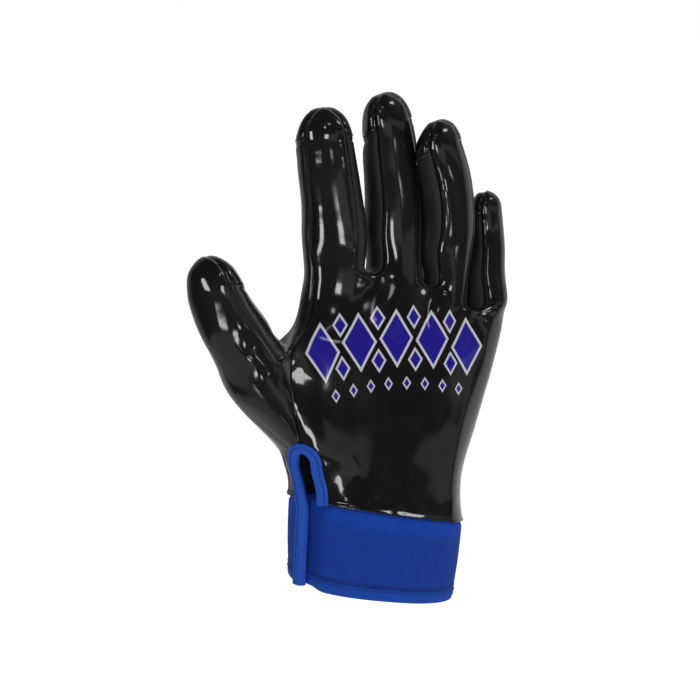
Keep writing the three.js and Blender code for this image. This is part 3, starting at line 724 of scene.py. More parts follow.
# Where the stretched skin spans a hollow of the hand, and the share of the hollow that it evens out
EVEN_COLUMNS = ("start", "end", "width", "share")
EVEN_LINES = table(EVEN_COLUMNS, (
    ((-50, -20, 109), (-44, -16, 88), 14, 1.0),
    ((-24, -16, 140), (-24, -16, 146), 11, 1.0),
    ((-27, -20, 98), (-26, -21, 76), 9, 0.7),
    ((-67.5, -21, 102), (-57, -21, 95), 6.5, 0.9),
))
EVEN_ROUNDS = 120
EVEN_LEAST = 0.01


def along_line(points, line):
    """Where each point stands along a line, from 0 to 1, and how many widths away from it."""
    start = np.array(line["start"], dtype=float)
    run = np.array(line["end"], dtype=float) - start
    share = np.clip((points - start) @ run / (run @ run), 0, 1)
    away = np.linalg.norm(points - start - share[:, None] * run, axis=1) / line["width"]
    return share, away


def line_heights(points, lines):
    """How far the lines lift each point, in full at a line and less with the distance from it."""
    total = np.zeros(len(points))
    for line in lines:
        _, away = along_line(points, line)
        total += line["height"] * np.exp(-away ** 2)
    return total


def evened(skin):
    """The skin made fuller, then drawn level near the lines that even it, over many small rounds."""
    points = skin.points.copy()
    points[:, 1] -= line_heights(skin.points, SWELLS)
    points[:, 0] -= line_heights(skin.points, LEANS) * np.clip(-skin.normals[:, 0], 0, 1)
    hold = np.zeros(len(points))
    for line in EVEN_LINES:
        _, away = along_line(skin.points, line)
        hold = np.maximum(hold, line["share"] * np.exp(-away ** 4))
    moved = np.where(hold > EVEN_LEAST)[0]
    sides = np.concatenate([skin.faces[:, [k, (k + 1) % 4]] for k in range(4)])
    sides = np.concatenate([sides, sides[:, ::-1]])
    sides = sides[np.isin(sides[:, 0], moved)]
    slot = np.searchsorted(moved, sides[:, 0])
    count = np.bincount(slot, minlength=len(moved))
    for _ in range(EVEN_ROUNDS):
        level = np.stack([np.bincount(slot, points[sides[:, 1], k], len(moved)) for k in range(3)], axis=1)
        step = np.sum((level / count[:, None] - points[moved]) * skin.normals[moved], axis=1)
        points[moved] += skin.normals[moved] * (step * hold[moved])[:, None]
    return Skin(points, skin.faces, skin.panels)


def fold_heights(points):
    """Heights of the folds, each lower at its ends and with a shallow bank the other way along it."""
    total = np.zeros(len(points))
    for fold in FOLDS:
        share, away = along_line(points, fold)
        fade = 1 - FOLD_END_FADE * np.abs(2 * share - 1) ** 2
        bank = FOLD_BANK_SHARE * np.exp(-(away - FOLD_BANK_AWAY) ** 2)
        total += fold["height"] * fade * (np.exp(-away ** 2) - bank)
    return total


# Relief of the skin: reach from a seam or from the wrist's rim, size of the lumps and seed of their noise
SEAM_SINK = 0.35
SEAM_SINK_REACH = 1.5
PUCKER_REACH = 3.2
PUCKER_SIZE = 2.1
PUCKER_FADE = 10
PUCKER_SEED = 1
RIPPLE_SIZE = 19
RIPPLE_SEED = 2
SMALL_RIPPLE_SIZE = 7
SMALL_RIPPLE_SHARE = 0.25
SMALL_RIPPLE_SEED = 3
LIP_HEIGHT = 0.6
LIP_REACH = 1.4
CAP_RISE_REACH = 3.0


@lru_cache(maxsize=1)
def glove_skin(pucker, ripple, cap_step):
    """Outer surface of the whole glove with its ripples, gathers, folds, wrist lip and raised caps."""
    cage = build_cage()
    numbers = [PANELS.index(name) for name in cage.panels]
    skin = evened(Skin(*subdivided(fitted_points(cage), cage.faces, numbers, SKIN_LEVELS)))
    points = skin.points
    seams = points[seam_points(skin, lambda names, _: len(names) == 2)]
    rim = points[seam_points(skin, lambda _, count: count == 1)]
    from_seam, seam_number = nearest(points, seams)
    from_rim, _ = nearest(points, rim)
    gathers = waves(seams, PUCKER_SIZE, PUCKER_SEED)[seam_number]
    height = ripple * waves(points, RIPPLE_SIZE, RIPPLE_SEED)
    height += ripple * SMALL_RIPPLE_SHARE * waves(points, SMALL_RIPPLE_SIZE, SMALL_RIPPLE_SEED)
    height += pucker * gathers * np.exp(-from_seam / PUCKER_REACH)
    height -= SEAM_SINK * np.exp(-(from_seam / SEAM_SINK_REACH) ** 2)
    height *= ease(from_rim, 0, PUCKER_FADE)
    height += fold_heights(points) * ease(from_rim, 0, LIP_REACH)
    height += LIP_HEIGHT * np.exp(-(from_rim / LIP_REACH) ** 2)
    height += cap_step * cap_rise(skin)
    return Skin(points + skin.normals * height[:, None], skin.faces, skin.panels)


def cap_rise(skin):
    """1 on a tip cap and 0 off it, with a smooth rise from its seam with the front panel."""
    cap_numbers = [PANELS.index(name) for name in CAPS]
    on_cap = np.zeros(len(skin.points), dtype=bool)
    on_cap[skin.faces[np.isin(skin.panels, cap_numbers)]] = True
    fronts = skin.points[seam_points(skin, lambda names, _: names & set(CAPS) and names & set(FRONT_PANELS))]
    from_front, _ = nearest(skin.points, fronts)
    return np.where(on_cap, ease(from_front, 0, CAP_RISE_REACH), 0)


def slit_half_width(below):
    """Half the width of the slit, by height below its top."""
    arch = np.clip(below / SLIT_ROUND_LENGTH, 0, 1)
    narrowed = np.clip(below / SLIT_NARROW_LENGTH, 0, 1)
    return mix(SLIT_HALF_WIDTH, SLIT_WRIST_HALF_WIDTH, narrowed) * np.sqrt(1 - (1 - arch) ** 2)


# Panels cut from the skin
class Panel:
    """A panel of the skin, with its border, the way in from the border and its own points."""

    def __init__(self, skin, name):
        self.name = name
        corners = skin.faces[skin.panels == PANELS.index(name)]
        self.ids, local = np.unique(corners, return_inverse=True)
        self.faces = local.reshape(-1, 4)
        self.points = skin.points[self.ids].copy()
        self.normals = skin.normals[self.ids].copy()
        self.border = []
        for (a, b), owners in edge_faces(self.faces.tolist()).items():
            if len(owners) == 1:
                ring = self.faces[owners[0]].tolist()
                forward = ring[(ring.index(a) + 1) % 4] == b
                self.border.append((a, b) if forward else (b, a))
        self.inward = self.border_ways()

    def border_ways(self):
        """For each border point, the way into the panel along the skin, longer at a corner as in a mitre."""
        ways = np.zeros_like(self.points)
        for a, b in self.border:
            side = np.cross(self.normals[a] + self.normals[b], self.points[b] - self.points[a])
            side /= max(np.linalg.norm(side), TINY)
            ways[a] += side
            ways[b] += side
        lengths = np.linalg.norm(ways, axis=1, keepdims=True)
        return np.where(lengths > 0, ways / np.maximum(lengths, TINY) ** 2 * 2, 0)

    def chains(self, other):
        """Runs of border points that this panel shares with another, in order along the border."""
        shared = set(np.searchsorted(self.ids, np.intersect1d(self.ids, other.ids)).tolist())
        after = {a: b for a, b in self.border if a in shared and b in shared}
        starts = sorted(set(after) - set(after.values()))
        runs = []
        for start in starts:
            run = [start]
            while run[-1] in after:
                run.append(after[run[-1]])
            runs.append(run)
        return runs

    def open_slit(self, skin, slit_ids):
        """Spreads the slit's edge and fades the shift out over the cloth beside it."""
        own = np.searchsorted(self.ids, slit_ids)
        level = self.inward[own].copy()
        level[:, 2] = 0
        level = unit(level)
        away, number = nearest(self.points, self.points[own])
        share = np.clip(1 - away / SLIT_SPREAD, 0, 1)
        open_width = slit_half_width(SLIT_TOP - self.points[own][:, 2])[number]
        below_top = self.points[:, 2] < SLIT_TOP
        moved = np.where((share > 0) & below_top & (open_width > 0))[0]
        tree = BVHTree.FromPolygons(skin.points.tolist(), skin.faces.tolist())
        for index in moved:
            shift = level[number[index]] * open_width[index] * share[index]
            place, _, _, _ = tree.find_nearest(Vector(self.points[index] + shift))
            self.points[index] = place
        fresh = point_normals(self.points, self.faces)
        self.normals[moved] = fresh[moved]
        self.inward = self.border_ways()
        return own


ROLL_STEPS = 4
ROLL_EASE = 3.0


def panel_mesh(panel, wall, gap, radius):
    """Closed shell of a panel whose border rolls inwards to its seam.

    It gives the points, the faces and the number of the first face of the lining.
    """
    border_points = np.array(sorted({a for a, _ in panel.border}))
    away, number = nearest(panel.points, panel.points[border_points])
    reach = gap / 2 + radius
    outer = panel.points.copy()
    inside = (away < ROLL_EASE) & (away > TINY)
    foot = panel.points[border_points][number]
    push = unit(panel.points - foot) * (reach * (1 - away / ROLL_EASE))[:, None]
    outer[inside] += push[inside]
    edge = panel.points[border_points]
    ways = panel.inward[border_points]
    drops = panel.normals[border_points]
    outer[border_points] = edge + ways * reach
    count = len(outer)
    layers = [outer]
    slots = {int(p): k for k, p in enumerate(border_points)}
    for step in range(1, ROLL_STEPS + 1):
        angle = math.pi / 2 * step / ROLL_STEPS
        inset = gap / 2 + radius * (1 - math.sin(angle))
        layers.append(edge + ways * inset - drops * radius * (1 - math.cos(angle)))
    inner = panel.points - panel.normals * wall
    inner[border_points] = edge + ways * gap / 2 - drops * wall
    layers.append(inner)
    starts = [count + k * len(border_points) for k in range(ROLL_STEPS)]
    inner_start = count + ROLL_STEPS * len(border_points)

    def ring_point(layer, point):
        if layer == 0:
            return point
        if layer == ROLL_STEPS + 1:
            return inner_start + point
        return starts[layer - 1] + slots[point]

    faces = panel.faces.tolist()
    for a, b in panel.border:
        for layer in range(ROLL_STEPS + 1):
            faces.append([ring_point(layer, b), ring_point(layer, a),
                          ring_point(layer + 1, a), ring_point(layer + 1, b)])
    lining_from = len(faces)
    faces += [[inner_start + corner for corner in reversed(ring)] for ring in panel.faces.tolist()]
    return np.concatenate(layers), faces, lining_from


def add_piece(name, points, faces, materials, replaces=()):
    """Object of one mesh, in metres, that rides on the glove."""
    mesh = bpy.data.meshes.new(name)
    mesh.from_pydata((np.asarray(points) * MM).tolist(), [], [list(map(int, face)) for face in faces])
    mesh.shade_smooth()
    for material in materials:
        mesh.materials.append(material)
    piece = bpy.data.objects.new(name, mesh)
    bpy.context.scene.collection.objects.link(piece)
    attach(piece, BODY)
    if replaces:
        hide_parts(*replaces)
    return piece


@lru_cache(maxsize=1)
def glove_panels(pucker, ripple, cap_step):
    """All panels of the skin, with the slit opened, and the skin itself."""
    skin = glove_skin(pucker, ripple, cap_step)
    panels = {name: Panel(skin, name) for name in PANELS}
    shared = np.intersect1d(panels["palm_panel"].ids, panels["thumb_panel"].ids)
    slit_ids = shared[skin.points[shared][:, 2] < SLIT_TOP + SLIT_TOP_MARGIN]
    slit = {name: panels[name].open_slit(skin, slit_ids) for name in FRONT_PANELS}
    return skin, panels, slit


def shared_panels():
    """The panels for the cloth settings of the scene."""
    cloth = bpy.context.scene.glove_cloth
    return glove_panels(cloth.pucker / MM, cloth.ripple / MM, cloth.cap_step / MM)


def add_panel(name, outside):
    """One panel's shell, with its outside finish and the plain lining."""
    cloth = bpy.context.scene.glove_cloth
    _, panels, _ = shared_panels()
    points, faces, lining_from = panel_mesh(
        panels[name], cloth.wall / MM, cloth.seam_gap / MM, cloth.seam_radius / MM)
    piece = add_piece(f"{name}_cloth", points, faces, [outside, lining_finish()], [name])
    lining = [0] * lining_from + [1] * (len(faces) - lining_from)
    piece.data.polygons.foreach_set("material_index", lining)
    return piece


# Wrist band
def wrist_point(angle, share, inset):
    """Point on the wrist's outline, by angle from the right edge and share of the band's height."""
    top = PALM_ROWS[0]
    low = WRIST_BOTTOM
    left = mix(low["left"], top["left"], share) + inset
    right = mix(low["right"], top["right"], share) - inset
    deep = mix(low["deep"], top["deep"], share) - inset
    across = math.cos(math.radians(angle))
    depth = math.sin(math.radians(angle))
    power = 2 / ROUNDNESS
    x = (left + right) / 2 + math.copysign(abs(across) ** power, across) * (right - left) / 2
    y = math.copysign(abs(depth) ** power, depth) * deep
    spread = (x - top["seam"]) / (top["right"] - top["seam"])
    top_z = mix(top["z_left"], top["z_right"], spread) - BAND_TOP_GAP
    low_spread = (x - low["left"]) / (low["right"] - low["left"])
    low_z = mix(low["z_left"], low["z_right"], low_spread) + low["lean"] * y
    return np.array((x, y, mix(low_z, top_z, share)))


def tuck_inset(angle, edge_angle):
    """How far the far end of the band has gone in under its near end."""
    past = edge_angle - 360 - angle
    return TUCK_DEPTH * float(ease(past, -TUCK_START_ANGLE, -TUCK_END_ANGLE))


BAND_STEPS = 220
BAND_ROWS = 16
BAND_TUCK_RISE = 1.6
BAND_PINCH = 0.9
BAND_PINCH_FROM = 0.94
BAND_SWELL = 0.55
# Upper edge of the band, from outside to inside: shares of its wall and of its rise
BAND_TOP_EDGE = ((0.1, 0.8), (0.5, 1), (0.9, 0.8))
HEM_FOLD_STEPS = 8
HEM_ROWS = 5
HEM_FIRST_ROW = 2
HEM_SWELL = 0.12
# Upper edge of the hem: depths from the outside, and lifts
HEM_TOP_EDGE = ((0.05, -0.35), (0.35, -0.05))
HEM_TOP_LIFT = 0.1
BAND_HEIGHT = PALM_ROWS[0]["z_left"] - WRIST_BOTTOM["z_left"]


def band_profile(low_share, wall):
    """Profile of the band as height shares, depths from the outside and lifts.

    It goes up the outside from the hem's share of the height, over the upper edge and down the inside.
    """
    outside = []
    for row in range(BAND_ROWS + 1):
        share = mix(low_share, 1, row / BAND_ROWS)
        pinch = BAND_PINCH * float(ease(share, BAND_PINCH_FROM, 1))
        outside.append((share, pinch - BAND_SWELL * math.sin(math.pi * share), 0))
    top = [(1, BAND_PINCH + wall * depth, BAND_TUCK_RISE * lift) for depth, lift in BAND_TOP_EDGE]
    inside = [(share, depth + wall, 0) for share, depth, _ in reversed(outside)]
    return outside + top + inside


def hem_profile(high_share, wall):
    """Profile of the folded hem: round at its lower fold, with a soft upper edge."""
    radius = wall / 2
    points = []
    for step in reversed(range(HEM_FOLD_STEPS + 1)):
        angle = math.pi * step / HEM_FOLD_STEPS
        points.append((0, radius - radius * math.cos(angle), radius - radius * math.sin(angle)))
    for row in range(HEM_FIRST_ROW, HEM_ROWS):
        points.append((high_share * row / HEM_ROWS, -HEM_SWELL * math.sin(math.pi * row / HEM_ROWS), 0))
    points += [(high_share, depth, lift) for depth, lift in HEM_TOP_EDGE]
    return points + [(high_share, radius, HEM_TOP_LIFT), (high_share, wall, 0), (high_share / 2, wall, 0)]


def band_loops(profile, inset):
    """The profile at even steps round the wrist, from the band's near end to its tucked far end."""
    loops = []
    for step in range(BAND_STEPS + 1):
        loop = []
        for share, depth, lift in profile:
            edge = mix(EDGE_ANGLE_BOTTOM, EDGE_ANGLE_TOP, share)
            angle = mix(edge, edge - 360 - TUCK_LENGTH_ANGLE, step / BAND_STEPS)
            place = wrist_point(angle, share, inset + tuck_inset(angle, edge) + depth)
            loop.append(place + np.array((0, 0, lift)))
        loops.append(loop)
    return np.array(loops)


def swept_piece(name, loops, materials, replaces):
    """Solid through closed loops of points, with a map in metres along and round it."""
    stations, size, _ = loops.shape
    faces = []
    for s in range(stations - 1):
        for i in range(size):
            j = (i + 1) % size
            faces.append([s * size + i, s * size + j, (s + 1) * size + j, (s + 1) * size + i])
    end = (stations - 1) * size
    faces.append(list(reversed(range(size))))
    faces.append([end + i for i in range(size)])
    points = loops.reshape(-1, 3)
    middle = loops[stations // 2]
    facing = np.sum(np.cross(middle, np.roll(middle, -1, axis=0)), axis=0)
    onward = loops[stations // 2 + 1].mean(axis=0) - middle.mean(axis=0)
    if facing @ onward > 0:
        faces = [list(reversed(face)) for face in faces]
    piece = add_piece(name, points, faces, materials, replaces)
    along = np.concatenate([[0], np.cumsum(np.linalg.norm(np.diff(loops.mean(axis=1), axis=0), axis=1))])
    round_it = np.concatenate([[0], np.cumsum(np.linalg.norm(np.diff(middle, axis=0), axis=1))])
    layer = piece.data.uv_layers.new(name="cloth_map")
    corner_points = np.empty(len(piece.data.loops), dtype=np.int32)
    piece.data.loops.foreach_get("vertex_index", corner_points)
    flat = np.stack([along[corner_points // size], round_it[corner_points % size]], axis=1) * MM
    layer.data.foreach_set("uv", flat.ravel())
    return piece


# Tape round the slit
TAPE_COVER = 4.1
TAPE_INNER_COVER = 1.8
TAPE_THICK = 1.0
TAPE_STEP = 0.6
TAPE_SMOOTH_ROUNDS = 40
TAPE_STITCH_INSET = 1.6
TAPE_START_SPAN = 3
TAPE_START_REACH = 1.5
TAPE_BAND_POINTS = 12
TAPE_GROOVE = 0.22
TAPE_NOSE = 1.5
TAPE_NOSE_STEPS = 8
TAPE_NOSE_SWELL = 0.05
TAPE_LIFT = 0.1
TAPE_DIVE = 1.6
TAPE_DIVE_REACH = 3.5
# Upper side of the tape: how far in from its outer edge, then from its stitches, and how far below its top
TAPE_EDGE = ((0, 1.1), (0, 0.65), (0.25, 0.15), (0.6, 0))
TAPE_RIDGE = ((-0.3, 0), (0, TAPE_GROOVE), (0.3, -0.02), (0.9, -0.1))
TAPE_RIDGE_END = 0.5
TAPE_RIDGE_HEIGHT = 0.1


def smooth_line(values, rounds):
    """Values along a line, averaged with their neighbours, with both ends held."""
    for _ in range(rounds):
        values[1:-1] = (values[:-2] + 2 * values[1:-1] + values[2:]) / 4
    return values


def resampled(points, step, *others):
    """Points at even steps along a line, with other values that go along with them."""
    lengths = np.concatenate([[0], np.cumsum(np.linalg.norm(np.diff(points, axis=0), axis=1))])
    count = max(int(round(lengths[-1] / step)), 2)
    places = np.linspace(0, lengths[-1], count + 1)
    out = []
    for values in (points,) + others:
        columns = [np.interp(places, lengths, column) for column in values.T]
        out.append(np.stack(columns, axis=1))
    return out


def tape_line():
    """Points, normals and cloth thickness along the tape.

    It runs up the slit's right edge, down its left edge and over the band.
    """
    cloth = bpy.context.scene.glove_cloth
    skin, panels, slit = shared_panels()
    palm = panels["palm_panel"]
    thumb = panels["thumb_panel"]
    right = sorted(slit["palm_panel"].tolist(), key=lambda p: skin.points[palm.ids[p]][2])
    left = sorted(slit["thumb_panel"].tolist(), key=lambda p: -skin.points[thumb.ids[p]][2])
    places = [palm.points[p] for p in right] + [thumb.points[p] for p in left[1:]]
    normals = [palm.normals[p] for p in right] + [thumb.normals[p] for p in left[1:]]
    start_way = unit(places[0] - places[TAPE_START_SPAN])
    places.insert(0, places[0] + start_way * TAPE_START_REACH)
    normals.insert(0, normals[0])
    walls = [cloth.wall / MM] * len(places)
    for share in np.linspace(1, 0, TAPE_BAND_POINTS):
        edge = mix(EDGE_ANGLE_BOTTOM, EDGE_ANGLE_TOP, share)
        place = wrist_point(edge, share, BAND_INSET - HEM_RAISE)
        beside = wrist_point(edge - EDGE_LOOK_ANGLE, share, BAND_INSET - HEM_RAISE) - place
        places.append(place)
        normals.append(unit(np.array((-beside[1], beside[0], 0))))
        walls.append(cloth.hem_wall / MM)
    places, normals, walls = resampled(
        np.array(places), TAPE_STEP, np.array(normals), np.array(walls)[:, None])
    smooth_line(places, TAPE_SMOOTH_ROUNDS)
    smooth_line(normals, TAPE_SMOOTH_ROUNDS)
    smooth_line(walls, TAPE_SMOOTH_ROUNDS)
    normals = unit(normals)
    dive = TAPE_DIVE * (1 - ease(np.arange(len(places)) * TAPE_STEP, 0, TAPE_DIVE_REACH))
    return places - normals * dive[:, None], normals, walls[:, 0]


def tape_profile(wall):
    """Section of the folded tape: distance into the cloth and height over it, from its outer edge round."""
    top = TAPE_LIFT + TAPE_THICK
    low = -wall - TAPE_THICK
    stitch = TAPE_COVER - TAPE_STITCH_INSET
    points = [(TAPE_COVER - inward, top - drop) for inward, drop in TAPE_EDGE]
    points += [(stitch - inward, top - drop) for inward, drop in TAPE_RIDGE]
    points.append((TAPE_RIDGE_END, top + TAPE_RIDGE_HEIGHT))
    half_depth = (top - low) / 2
    for step in range(TAPE_NOSE_STEPS + 1):
        angle = math.pi * (0.5 + step / TAPE_NOSE_STEPS)
        height = low + half_depth + (half_depth + TAPE_NOSE_SWELL) * math.sin(angle)
        points.append((TAPE_NOSE * math.cos(angle), height))
    under = -wall - TAPE_LIFT
    return points + [(TAPE_INNER_COVER, low), (TAPE_INNER_COVER, under), (0, under), (0, TAPE_LIFT)]


def tape_loops(places, normals, walls):
    """The tape's section at each place of its line."""
    along = unit(np.gradient(places, axis=0))
    into = unit(np.cross(along, normals))
    out = unit(np.cross(into, along))
    loops = []
    for place, way, normal, wall in zip(places, into, out, walls):
        loops.append([place + way * u + normal * v for u, v in tape_profile(wall)])
    return np.array(loops)


# Stitches
class Thread:
    """Collects stitches as small capsules in one mesh."""

    SIDES = 5
    # Shares of a stitch's length and of its radius
    RINGS = ((-0.5, 0.4), (-0.3, 0.95), (0.3, 0.95), (0.5, 0.4))
    ARCH = 0.8
    LEAST_PLACES = 3

    def __init__(self, radius):
        self.radius = radius
        self.points = []
        self.faces = []

    def stitch(self, centre, along, out, length):
        """One stitch, highest in its middle."""
        side = np.cross(along, out)
        start = len(self.points)
        for share, width in self.RINGS:
            arch = out * self.radius * self.ARCH * (1 - (2 * share) ** 2)
            for k in range(self.SIDES):
                angle = 2 * math.pi * k / self.SIDES
                round_it = side * math.cos(angle) + out * math.sin(angle)
                self.points.append(centre + along * share * length + round_it * self.radius * width + arch)
        last = len(self.RINGS) - 1
        for ring in range(last):
            for k in range(self.SIDES):
                j = (k + 1) % self.SIDES
                a = start + ring * self.SIDES
                b = a + self.SIDES
                self.faces.append([a + k, a + j, b + j, b + k])
        self.faces.append([start + k for k in reversed(range(self.SIDES))])
        self.faces.append([start + last * self.SIDES + k for k in range(self.SIDES)])

    def row(self, places, normals, length, gap, sink):
        """Stitches at even steps along a line, sunk a little into the cloth."""
        if len(places) < self.LEAST_PLACES:
            return
        places, normals = resampled(places, length + gap, normals)
        along = unit(np.gradient(places, axis=0))
        for place, way, normal in zip(places[1:-1], along[1:-1], normals[1:-1]):
            out = unit(np.cross(np.cross(way, normal), way))
            self.stitch(place - out * sink, way, out, length)

    def piece(self, name, material, slot):
        return add_piece(name, self.points, self.faces, [material], ())


# Seams with a visible row of stitches: the panel that is stitched and the one beside it
STITCHED_SEAMS = (
    ("palm_panel", "fourchette_thumb_index"),
    ("palm_panel", "fourchette_index_middle"),
    ("palm_panel", "fourchette_middle_ring"),
    ("palm_panel", "fourchette_ring_pinky"),
    ("palm_panel", "back_panel"),
    ("palm_panel", "tip_cap_middle"),
    ("palm_panel", "tip_cap_ring"),
    ("palm_panel", "tip_cap_pinky"),
    ("palm_panel", "tip_cap_index"),
    ("thumb_panel", "fourchette_thumb_index"),
    ("thumb_panel", "tip_cap_thumb"),
    ("back_panel", "fourchette_thumb_index"),
    ("back_panel", "fourchette_index_middle"),
    ("back_panel", "fourchette_middle_ring"),
    ("back_panel", "fourchette_ring_pinky"),
)
SEAM_STITCH_INSET = 1.8
SEAM_STITCH_RADIUS = 0.26
SEAM_STITCH_SINK = 0.1
BAND_STITCH_RADIUS = 0.3
# Rows below and above the hem's upper edge: share of the hem's height, and depth past the band's inset
HEM_ROWS_OF_STITCHES = ((0.8, -HEM_RAISE), (1.2, -BAND_SWELL * 0.4))
HEM_STITCH_START_ANGLE = 4
HEM_STITCH_POINTS = 160
HEM_STITCH_SINK = 0.05


def seam_thread(length, gap):
    """Rows of stitches beside the seams of the panels."""
    _, panels, _ = shared_panels()
    thread = Thread(SEAM_STITCH_RADIUS)
    for name, beside in STITCHED_SEAMS:
        panel = panels[name]
        tree = BVHTree.FromPolygons(panel.points.tolist(), panel.faces.tolist())
        for run in panel.chains(panels[beside]):
            places = []
            normals = []
            for p in run:
                start = panel.points[p] + unit(panel.inward[p]) * SEAM_STITCH_INSET
                place, _, _, _ = tree.find_nearest(Vector(start))
                places.append(np.array(place))
                normals.append(panel.normals[p])
            thread.row(np.array(places), np.array(normals), length, gap, SEAM_STITCH_SINK)
    return thread


def band_thread(length, gap):
    """Rows of stitches on both sides of the hem's upper edge and along the tape."""
    thread = Thread(BAND_STITCH_RADIUS)
    first_angle = EDGE_ANGLE_BOTTOM - HEM_STITCH_START_ANGLE
    last_angle = EDGE_ANGLE_BOTTOM - 360 + TUCK_START_ANGLE / 2
    for share, depth in HEM_ROWS_OF_STITCHES:
        places = []
        for angle in np.linspace(first_angle, last_angle, HEM_STITCH_POINTS):
            inset = BAND_INSET + depth + tuck_inset(angle, EDGE_ANGLE_BOTTOM)
            places.append(wrist_point(angle, HEM_HEIGHT / BAND_HEIGHT * share, inset))
        places = np.array(places)
        out = np.cross(np.gradient(places, axis=0), (0, 0, 1.0))
        thread.row(places, unit(-out), length, gap, HEM_STITCH_SINK)
    places, normals, _ = tape_line()
    into = unit(np.cross(unit(np.gradient(places, axis=0)), normals))
    line = places + into * (TAPE_COVER - TAPE_STITCH_INSET) + normals * (TAPE_LIFT + TAPE_THICK - TAPE_GROOVE)
    thread.row(line, normals, length, gap, 0)
    return thread


# Shader expressions
# Sockets of a Mix node that mixes colours
MIX_FIRST = 6
MIX_SECOND = 7
MIX_RESULT = 2


class Wire:
    """A number on a node's socket that can be used in arithmetic."""

    def __init__(self, shade, socket):
        self.shade = shade
        self.socket = socket

    def _math(self, operation, *values):
        return self.shade.node("ShaderNodeMath", {"operation": operation}, dict(enumerate(values)))

    def __add__(self, other):
        return self._math("ADD", self, other)

    __radd__ = __add__

    def __sub__(self, other):
        return self._math("SUBTRACT", self, other)

    def __rsub__(self, other):
        return self._math("SUBTRACT", other, self)

    def __mul__(self, other):
        return self._math("MULTIPLY", self, other)

    __rmul__ = __mul__

    def __truediv__(self, other):
        return self._math("DIVIDE", self, other)

    def __rtruediv__(self, other):
        return self._math("DIVIDE", other, self)

    def __abs__(self):
        return self._math("ABSOLUTE", self)

    def most(self, other):
        return self._math("MAXIMUM", self, other)

    def sine(self):
        return self._math("SINE", self)

    def fraction(self):
        return self._math("FRACT", self)

    def rise(self, low, high):
        """0 below low, 1 above high, with a straight rise between them."""
        return self.shade.node(
            "ShaderNodeMapRange", {"clamp": True}, {"Value": self, "From Min": low, "From Max": high})


class Nodes:
    """A node tree whose nodes are made from values and expressions."""

    def __init__(self, tree):
        self.tree = tree

    def node(self, kind, settings, inputs, output=0):
        """A node of a type, its settings first, then the values or links of its sockets."""
        node = self.tree.nodes.new(kind)
        for key, value in settings.items():
            setattr(node, key, value)
        for key, value in inputs.items():
            self.feed(node.inputs[key], value)
        return Wire(self, node.outputs[output])

    def feed(self, socket, value):
        if isinstance(value, Wire):
            self.tree.links.new(value.socket, socket)
        else:
            socket.default_value = value


class Shade(Nodes):
    """Node tree of one material."""

    def __init__(self, name):
        self.material = bpy.data.materials.new(name)
        self.material.use_nodes = True
        super().__init__(self.material.node_tree)
        self.shader = self.tree.nodes["Principled BSDF"]

    def position(self):
        """The point on the surface in the glove's frame, as three numbers in millimetres."""
        coordinates = self.node("ShaderNodeTexCoord", {}, {}, "Object")
        return [self.node("ShaderNodeSeparateXYZ", {}, {"Vector": coordinates}, k) / MM for k in range(3)]

    def cloth_map(self):
        """The place along and round a swept piece, in millimetres."""
        flat = self.node("ShaderNodeUVMap", {"uv_map": "cloth_map"}, {})
        return [self.node("ShaderNodeSeparateXYZ", {}, {"Vector": flat}, k) / MM for k in range(2)]

    def noise(self, size, detail=2.0, stretch=(1, 1, 1)):
        """Noise from 0 to 1 whose lumps are about size millimetres across."""
        coordinates = self.node("ShaderNodeTexCoord", {}, {}, "Object")
        stretched = self.node("ShaderNodeVectorMath", {"operation": "MULTIPLY"}, {0: coordinates, 1: stretch})
        return self.node(
            "ShaderNodeTexNoise", {}, {"Vector": stretched, "Scale": 1 / (size * MM), "Detail": detail})

    def colours(self, share, first, second):
        """Colour from first to second as share goes from 0 to 1."""
        inputs = {"Factor": share}
        for key, colour in ((MIX_FIRST, first), (MIX_SECOND, second)):
            inputs[key] = colour if isinstance(colour, Wire) else (*colour, 1)
        return self.node("ShaderNodeMix", {"data_type": "RGBA"}, inputs, MIX_RESULT)

    def tones(self, share, colour, dark, light):
        """Colour from a darker to a lighter tone of one colour as share goes from 0 to 1."""
        return self.colours(share, scaled(colour, dark), scaled(colour, light))

    def bump(self, height, depth):
        """Normal of a relief whose height goes from 0 to 1 over depth millimetres."""
        return self.node("ShaderNodeBump", {}, {"Height": height, "Distance": depth * MM, "Strength": 1})

    def surface(self, **inputs):
        for key, value in inputs.items():
            name = key.replace("_", " ").title().replace("Ior", "IOR")
            if isinstance(value, tuple) and len(value) == 3:
                value = (*value, 1)
            self.feed(self.shader.inputs[name], value)


# Printed diamonds in level rows that bend down to both sides: places across the palm and half sizes
PRINT_ARC_TOP = 117
PRINT_ARC_CENTRE = 6
PRINT_ARC_BEND = 0.0045
PRINT_LARGE = (-29.0, -11.5, 6.0, 23.5, 41.0)
PRINT_NOTCHES = (-20.2, -2.7, 14.8, 32.3)
PRINT_SMALL = (-24.6, -15.9, -7.1, 1.6, 10.4, 19.1, 27.9, 36.6)
PRINT_ROWS = (
    {"places": PRINT_LARGE, "drop": 0, "half_width": 8.2, "half_height": 13.5, "line": 1.1},
    {"places": PRINT_NOTCHES, "drop": 9.6, "half_width": 3.6, "half_height": 5.6, "line": 0.9},
    {"places": PRINT_NOTCHES, "drop": -9.6, "half_width": 3.6, "half_height": 5.6, "line": 0.9},
    {"places": PRINT_SMALL, "drop": 20.5, "half_width": 2.1, "half_height": 3.1, "line": 0.65},
)
PRINT_EDGE = 0.12


